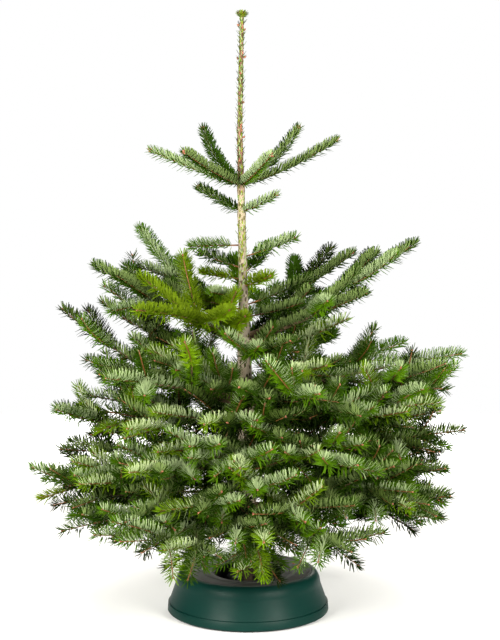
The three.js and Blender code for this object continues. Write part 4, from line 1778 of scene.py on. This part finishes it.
@dataclass
class Studio:
    """A white room with four broad soft lights, and the camera."""

    distance: float = 4.2
    height: float = 1.24
    pitch: float = 6.475          # degrees below level
    aside: float = 5 * MM
    lens: float = 92.6
    sensor: float = 36
    fill: float = 0.03            # strength of the room's own light
    glow: float = 0.05            # light that the floor itself gives near the tree
    glow_start: float = 1.2       # distances from the tree between which it grows to white
    glow_end: float = 2.56
    floor_radius: float = 3.2
    floor_sides: int = 96
    aim_height: float = 0.6       # of the point that the lights face
    warmth: str = "#fffaf2"
    lights: tuple[Softbox, ...] = (
        Softbox("softbox_left", (-2.5, -3.2, 2.0), (1.6, 1.6), 330),
        Softbox("softbox_right", (2.6, -3.1, 1.9), (1.6, 1.6), 305),
        Softbox("softbox_top", (0.0, 0.2, 4.0), (3.0, 3.0), 130),
        Softbox("softbox_back", (0.4, 3.6, 2.4), (2.4, 2.4), 130),
    )

    def build(self) -> None:
        """Builds the floor, the world, the lights and the camera."""
        self.build_floor()
        self.build_world()
        for light in self.lights:
            self.build_light(light)
        self.build_camera()

    def build_floor(self) -> None:
        """Lays a round matt white floor, which glows white towards its rim so that no edge shows."""
        rim = revolved(np.array([(self.floor_radius, 0.0)]), self.floor_sides)[0]
        material, tree, shader, spot = new_material("studio_floor")
        distance = add_node(tree, "ShaderNodeVectorMath", {0: spot}, "Value", operation="LENGTH")
        glow = add_node(tree, "ShaderNodeMapRange",
                        {"Value": distance, "From Min": self.glow_start, "From Max": self.glow_end,
                         "To Min": self.glow, "To Max": 1.0}, interpolation_type="SMOOTHSTEP")
        feed(tree, shader, {"Base Color": linear("#e6e8eb"), "Roughness": 0.9, "Specular IOR Level": 0.1,
                            "Emission Color": linear("#ffffff"), "Emission Strength": glow})
        make_piece("studio_floor", np.concatenate([rim, [[0, 0, 0]]]),
                            fan(self.floor_sides, 0, self.floor_sides), [material])

    def build_world(self) -> None:
        """Fills the room with even white light, and keeps its walls white to the eye."""
        world = bpy.data.worlds.new("studio")
        world.use_nodes = True
        tree, white = world.node_tree, linear("#ffffff")
        fill = tree.nodes["Background"]
        feed(tree, fill, {"Color": white, "Strength": self.fill})
        walls = add_node(tree, "ShaderNodeBackground", {"Color": white, "Strength": 1.0})
        seen = add_node(tree, "ShaderNodeLightPath", output="Is Camera Ray")
        either = add_node(tree, "ShaderNodeMixShader", {0: seen, 1: fill.outputs[0], 2: walls})
        feed(tree, tree.nodes["World Output"], {"Surface": either})
        bpy.context.scene.world = world

    def build_light(self, softbox: Softbox) -> None:
        """Hangs a light that faces the middle of the tree.

        Args:
            softbox: its name, place, size and power.
        """
        light = bpy.data.lights.new(softbox.name, "AREA")
        light.shape = "RECTANGLE"
        light.size, light.size_y = softbox.size
        light.energy = softbox.power
        light.color = linear(self.warmth)[:3]
        aim = UP * self.aim_height - np.array(softbox.spot)
        pitch = math.atan2(np.linalg.norm(aim[:2]), -aim[2])
        yaw = math.atan2(aim[0], -aim[1]) + math.pi
        self.hang(softbox.name, light, softbox.spot, (pitch, 0, yaw))

    def build_camera(self) -> None:
        """Sets the camera square to the front, looking slightly down."""
        camera = bpy.data.cameras.new("camera")
        camera.lens = self.lens
        camera.sensor_width = self.sensor
        camera.sensor_fit = "AUTO"
        spot, tilt = (self.aside, -self.distance, self.height), math.radians(90 - self.pitch)
        bpy.context.scene.camera = self.hang("camera", camera, spot, (tilt, 0, 0))
        bpy.context.scene.view_settings.view_transform = "Standard"

    @staticmethod
    def hang(name: str, content: bpy.types.ID, spot: tuple[float, float, float],
             angles: tuple[float, float, float]) -> bpy.types.Object:
        """Puts a light or camera into the scene.

        Args:
            name: its object's name.
            content: the light or camera.
            spot: where it hangs.
            angles: its turns about X, Y and Z.

        Returns:
            Its object.
        """
        holder = bpy.data.objects.new(name, content)
        bpy.context.scene.collection.objects.link(holder)
        holder.location = spot
        holder.rotation_euler = angles
        return holder


# ---------------------------------------------------------------- habits of the tiers

# The mixes are partly the crown's own greens and partly painted shade: the upper tier and the foot draw more
# dark greens to offset the strong light from above and the floor's bounce.
TOP_GREENS = {Tint.DEEP: 0.5, Tint.LEAF: 0.5}
HIGH_GREENS = {Tint.SHADE: 0.25, Tint.DEEP: 0.47, Tint.LEAF: 0.28}
SPIRE_GREENS = {Tint.DEEP: 0.30, Tint.LEAF: 0.35, Tint.LIME: 0.35}
GREENS = {Tint.SHADE: 0.14, Tint.DEEP: 0.38, Tint.LEAF: 0.36, Tint.FRESH: 0.12}
LOW_GREENS = {Tint.SHADE: 0.20, Tint.DEEP: 0.34, Tint.LEAF: 0.30, Tint.FRESH: 0.14, Tint.GOLD: 0.02}
YELLOWS = {Tint.LEAF: 0.34, Tint.LIME: 0.66}

SINGLE_SHOOTS = Habit((), TOP_GREENS)
UPPER_HABIT = Habit((0.56,), HIGH_GREENS, side_angle=(36, 50), lift=0.05, tilt=16, thirds=1.0, between=1.0)
PALE_HABIT = replace(UPPER_HABIT, joints=(0.42,), side_angle=(50, 80), tints=YELLOWS)
MIDDLE_HABIT = Habit((0.38, 0.69), GREENS, side_angle=(38, 52), tilt=22, thirds=0.8, between=0.8)
LOWER_HABIT = Habit((0.30, 0.53, 0.76), GREENS, lift=0.01)
BOTTOM_HABIT = Habit((0.28, 0.52, 0.76), LOW_GREENS, lift=-0.05)
YOUNG_SPRIG = Habit((), SPIRE_GREENS, clothed=0.8)
SHORT_SPRIG = Habit((0.50,), GREENS, side_ratio=0.9, tilt=20, thirds=0.8, between=0.8, clothed=0.8)
OLD_SPRIG = Habit((0.40, 0.70), GREENS, side_ratio=0.9, tilt=26, clothed=0.8)

TOP_BRUSH = Brush(per_mm=1.7, length=28 * MM, width=3.2 * MM, lean=(52.0, 24.0), wrap=120.0)
UPPER_BRUSH = Brush(per_mm=1.8, length=32 * MM, lean=(64.0, 26.0))
INNER_BRUSH = Brush(per_mm=1.15)
SPIRE_BRUSH = Brush(per_mm=1.75, length=31 * MM, lean=(60.0, 26.0))
BIG_BUDS = (13 * MM, 5)

# The side boughs between the whorls: height on the trunk, azimuth, reach, height of the tip.
SPIRE = (Sprig(0.956, 178, 0.145, 0.952), Sprig(0.925, 12, 0.150, 0.978), Sprig(0.897, 150, 0.140, 0.935),
         Sprig(0.868, -165, 0.120, 0.892), Sprig(0.880, 62, 0.150, 0.950), Sprig(0.850, -55, 0.130, 0.890),
         Sprig(0.840, 100, 0.160, 0.920), Sprig(0.820, -125, 0.150, 0.850), Sprig(0.800, 20, 0.190, 0.870),
         Sprig(0.790, -155, 0.170, 0.840), Sprig(0.775, 140, 0.200, 0.860), Sprig(0.770, -30, 0.180, 0.820))
WAIST = (Sprig(0.660, -80, 0.210, 0.725), Sprig(0.640, 85, 0.240, 0.720), Sprig(0.625, 150, 0.260, 0.700),
         Sprig(0.650, 30, 0.240, 0.730), Sprig(0.605, -150, 0.270, 0.680), Sprig(0.600, -35, 0.260, 0.670),
         Sprig(0.590, -110, 0.250, 0.620), Sprig(0.595, 0, 0.280, 0.660))
BELLY = (Sprig(0.500, -97, 0.360, 0.560), Sprig(0.470, -75, 0.350, 0.520), Sprig(0.450, -112, 0.370, 0.500),
         Sprig(0.430, -48, 0.430, 0.500), Sprig(0.480, -152, 0.400, 0.560), Sprig(0.460, 18, 0.480, 0.590),
         Sprig(0.430, -6, 0.540, 0.665, 0.80), Sprig(0.490, 62, 0.420, 0.590),
         Sprig(0.470, 102, 0.420, 0.560), Sprig(0.450, 150, 0.440, 0.550), Sprig(0.440, -92, 0.390, 0.455),
         Sprig(0.475, -25, 0.450, 0.560), Sprig(0.435, 125, 0.440, 0.500), Sprig(0.425, 35, 0.470, 0.510),
         Sprig(0.515, 82, 0.330, 0.570), Sprig(0.445, 88, 0.400, 0.480))
FOOT = (Sprig(0.370, -86, 0.400, 0.405), Sprig(0.350, -106, 0.420, 0.350), Sprig(0.340, -70, 0.420, 0.325),
        Sprig(0.320, -94, 0.390, 0.270), Sprig(0.360, -148, 0.490, 0.390), Sprig(0.350, -32, 0.490, 0.370),
        Sprig(0.310, -162, 0.500, 0.245), Sprig(0.340, 2, 0.530, 0.370), Sprig(0.355, 20, 0.500, 0.400),
        Sprig(0.345, 64, 0.460, 0.360), Sprig(0.330, 104, 0.460, 0.330), Sprig(0.320, 150, 0.460, 0.300),
        Sprig(0.330, -12, 0.520, 0.270), Sprig(0.290, -113, 0.380, 0.200, 0.5),
        Sprig(0.290, -62, 0.420, 0.240, 0.5), Sprig(0.285, -88, 0.310, 0.205, 0.6),
        Sprig(0.295, 86, 0.380, 0.230, 0.4), Sprig(0.350, 172, 0.480, 0.440))

# Each tier has its own seed. Most were picked from many for the outline that the tier grows. One bough of the
# upper whorl has a habit and a seed of its own.
TIERS = (
    Tier("top", SINGLE_SHOOTS, 20411, TOP_BRUSH, BIG_BUDS),
    Tier("neck", SINGLE_SHOOTS, 21411, TOP_BRUSH, BIG_BUDS),
    Tier("upper", UPPER_HABIT, 23419, UPPER_BRUSH, odd_ones={"front_left": (PALE_HABIT, 5042)}),
    Tier("middle", MIDDLE_HABIT, 24272),
    Tier("lower", LOWER_HABIT, 24663),
    Tier("bottom", BOTTOM_HABIT, 26006),
    Sprigs("spire", YOUNG_SPRIG, 29411, SPIRE_BRUSH, sprigs=SPIRE),
    Sprigs("waist", SHORT_SPRIG, 30796, INNER_BRUSH, sprigs=WAIST),
    Sprigs("belly", OLD_SPRIG, 32678, INNER_BRUSH, sprigs=BELLY),
    Sprigs("foot", OLD_SPRIG, 32761, INNER_BRUSH, sprigs=FOOT),
)


def main() -> None:
    """Builds the tree, the stand and the studio in order."""
    logging.basicConfig(level=logging.INFO, format="%(name)s: %(message)s")
    trunk_line = TrunkLine.from_frame()
    materials = FoliageMaterials()
    Trunk(trunk_line, materials).build()
    for tier in TIERS:
        tier.build(trunk_line, materials)
    Stand().build()
    Studio().build()


if __name__ == "__main__":
    main()
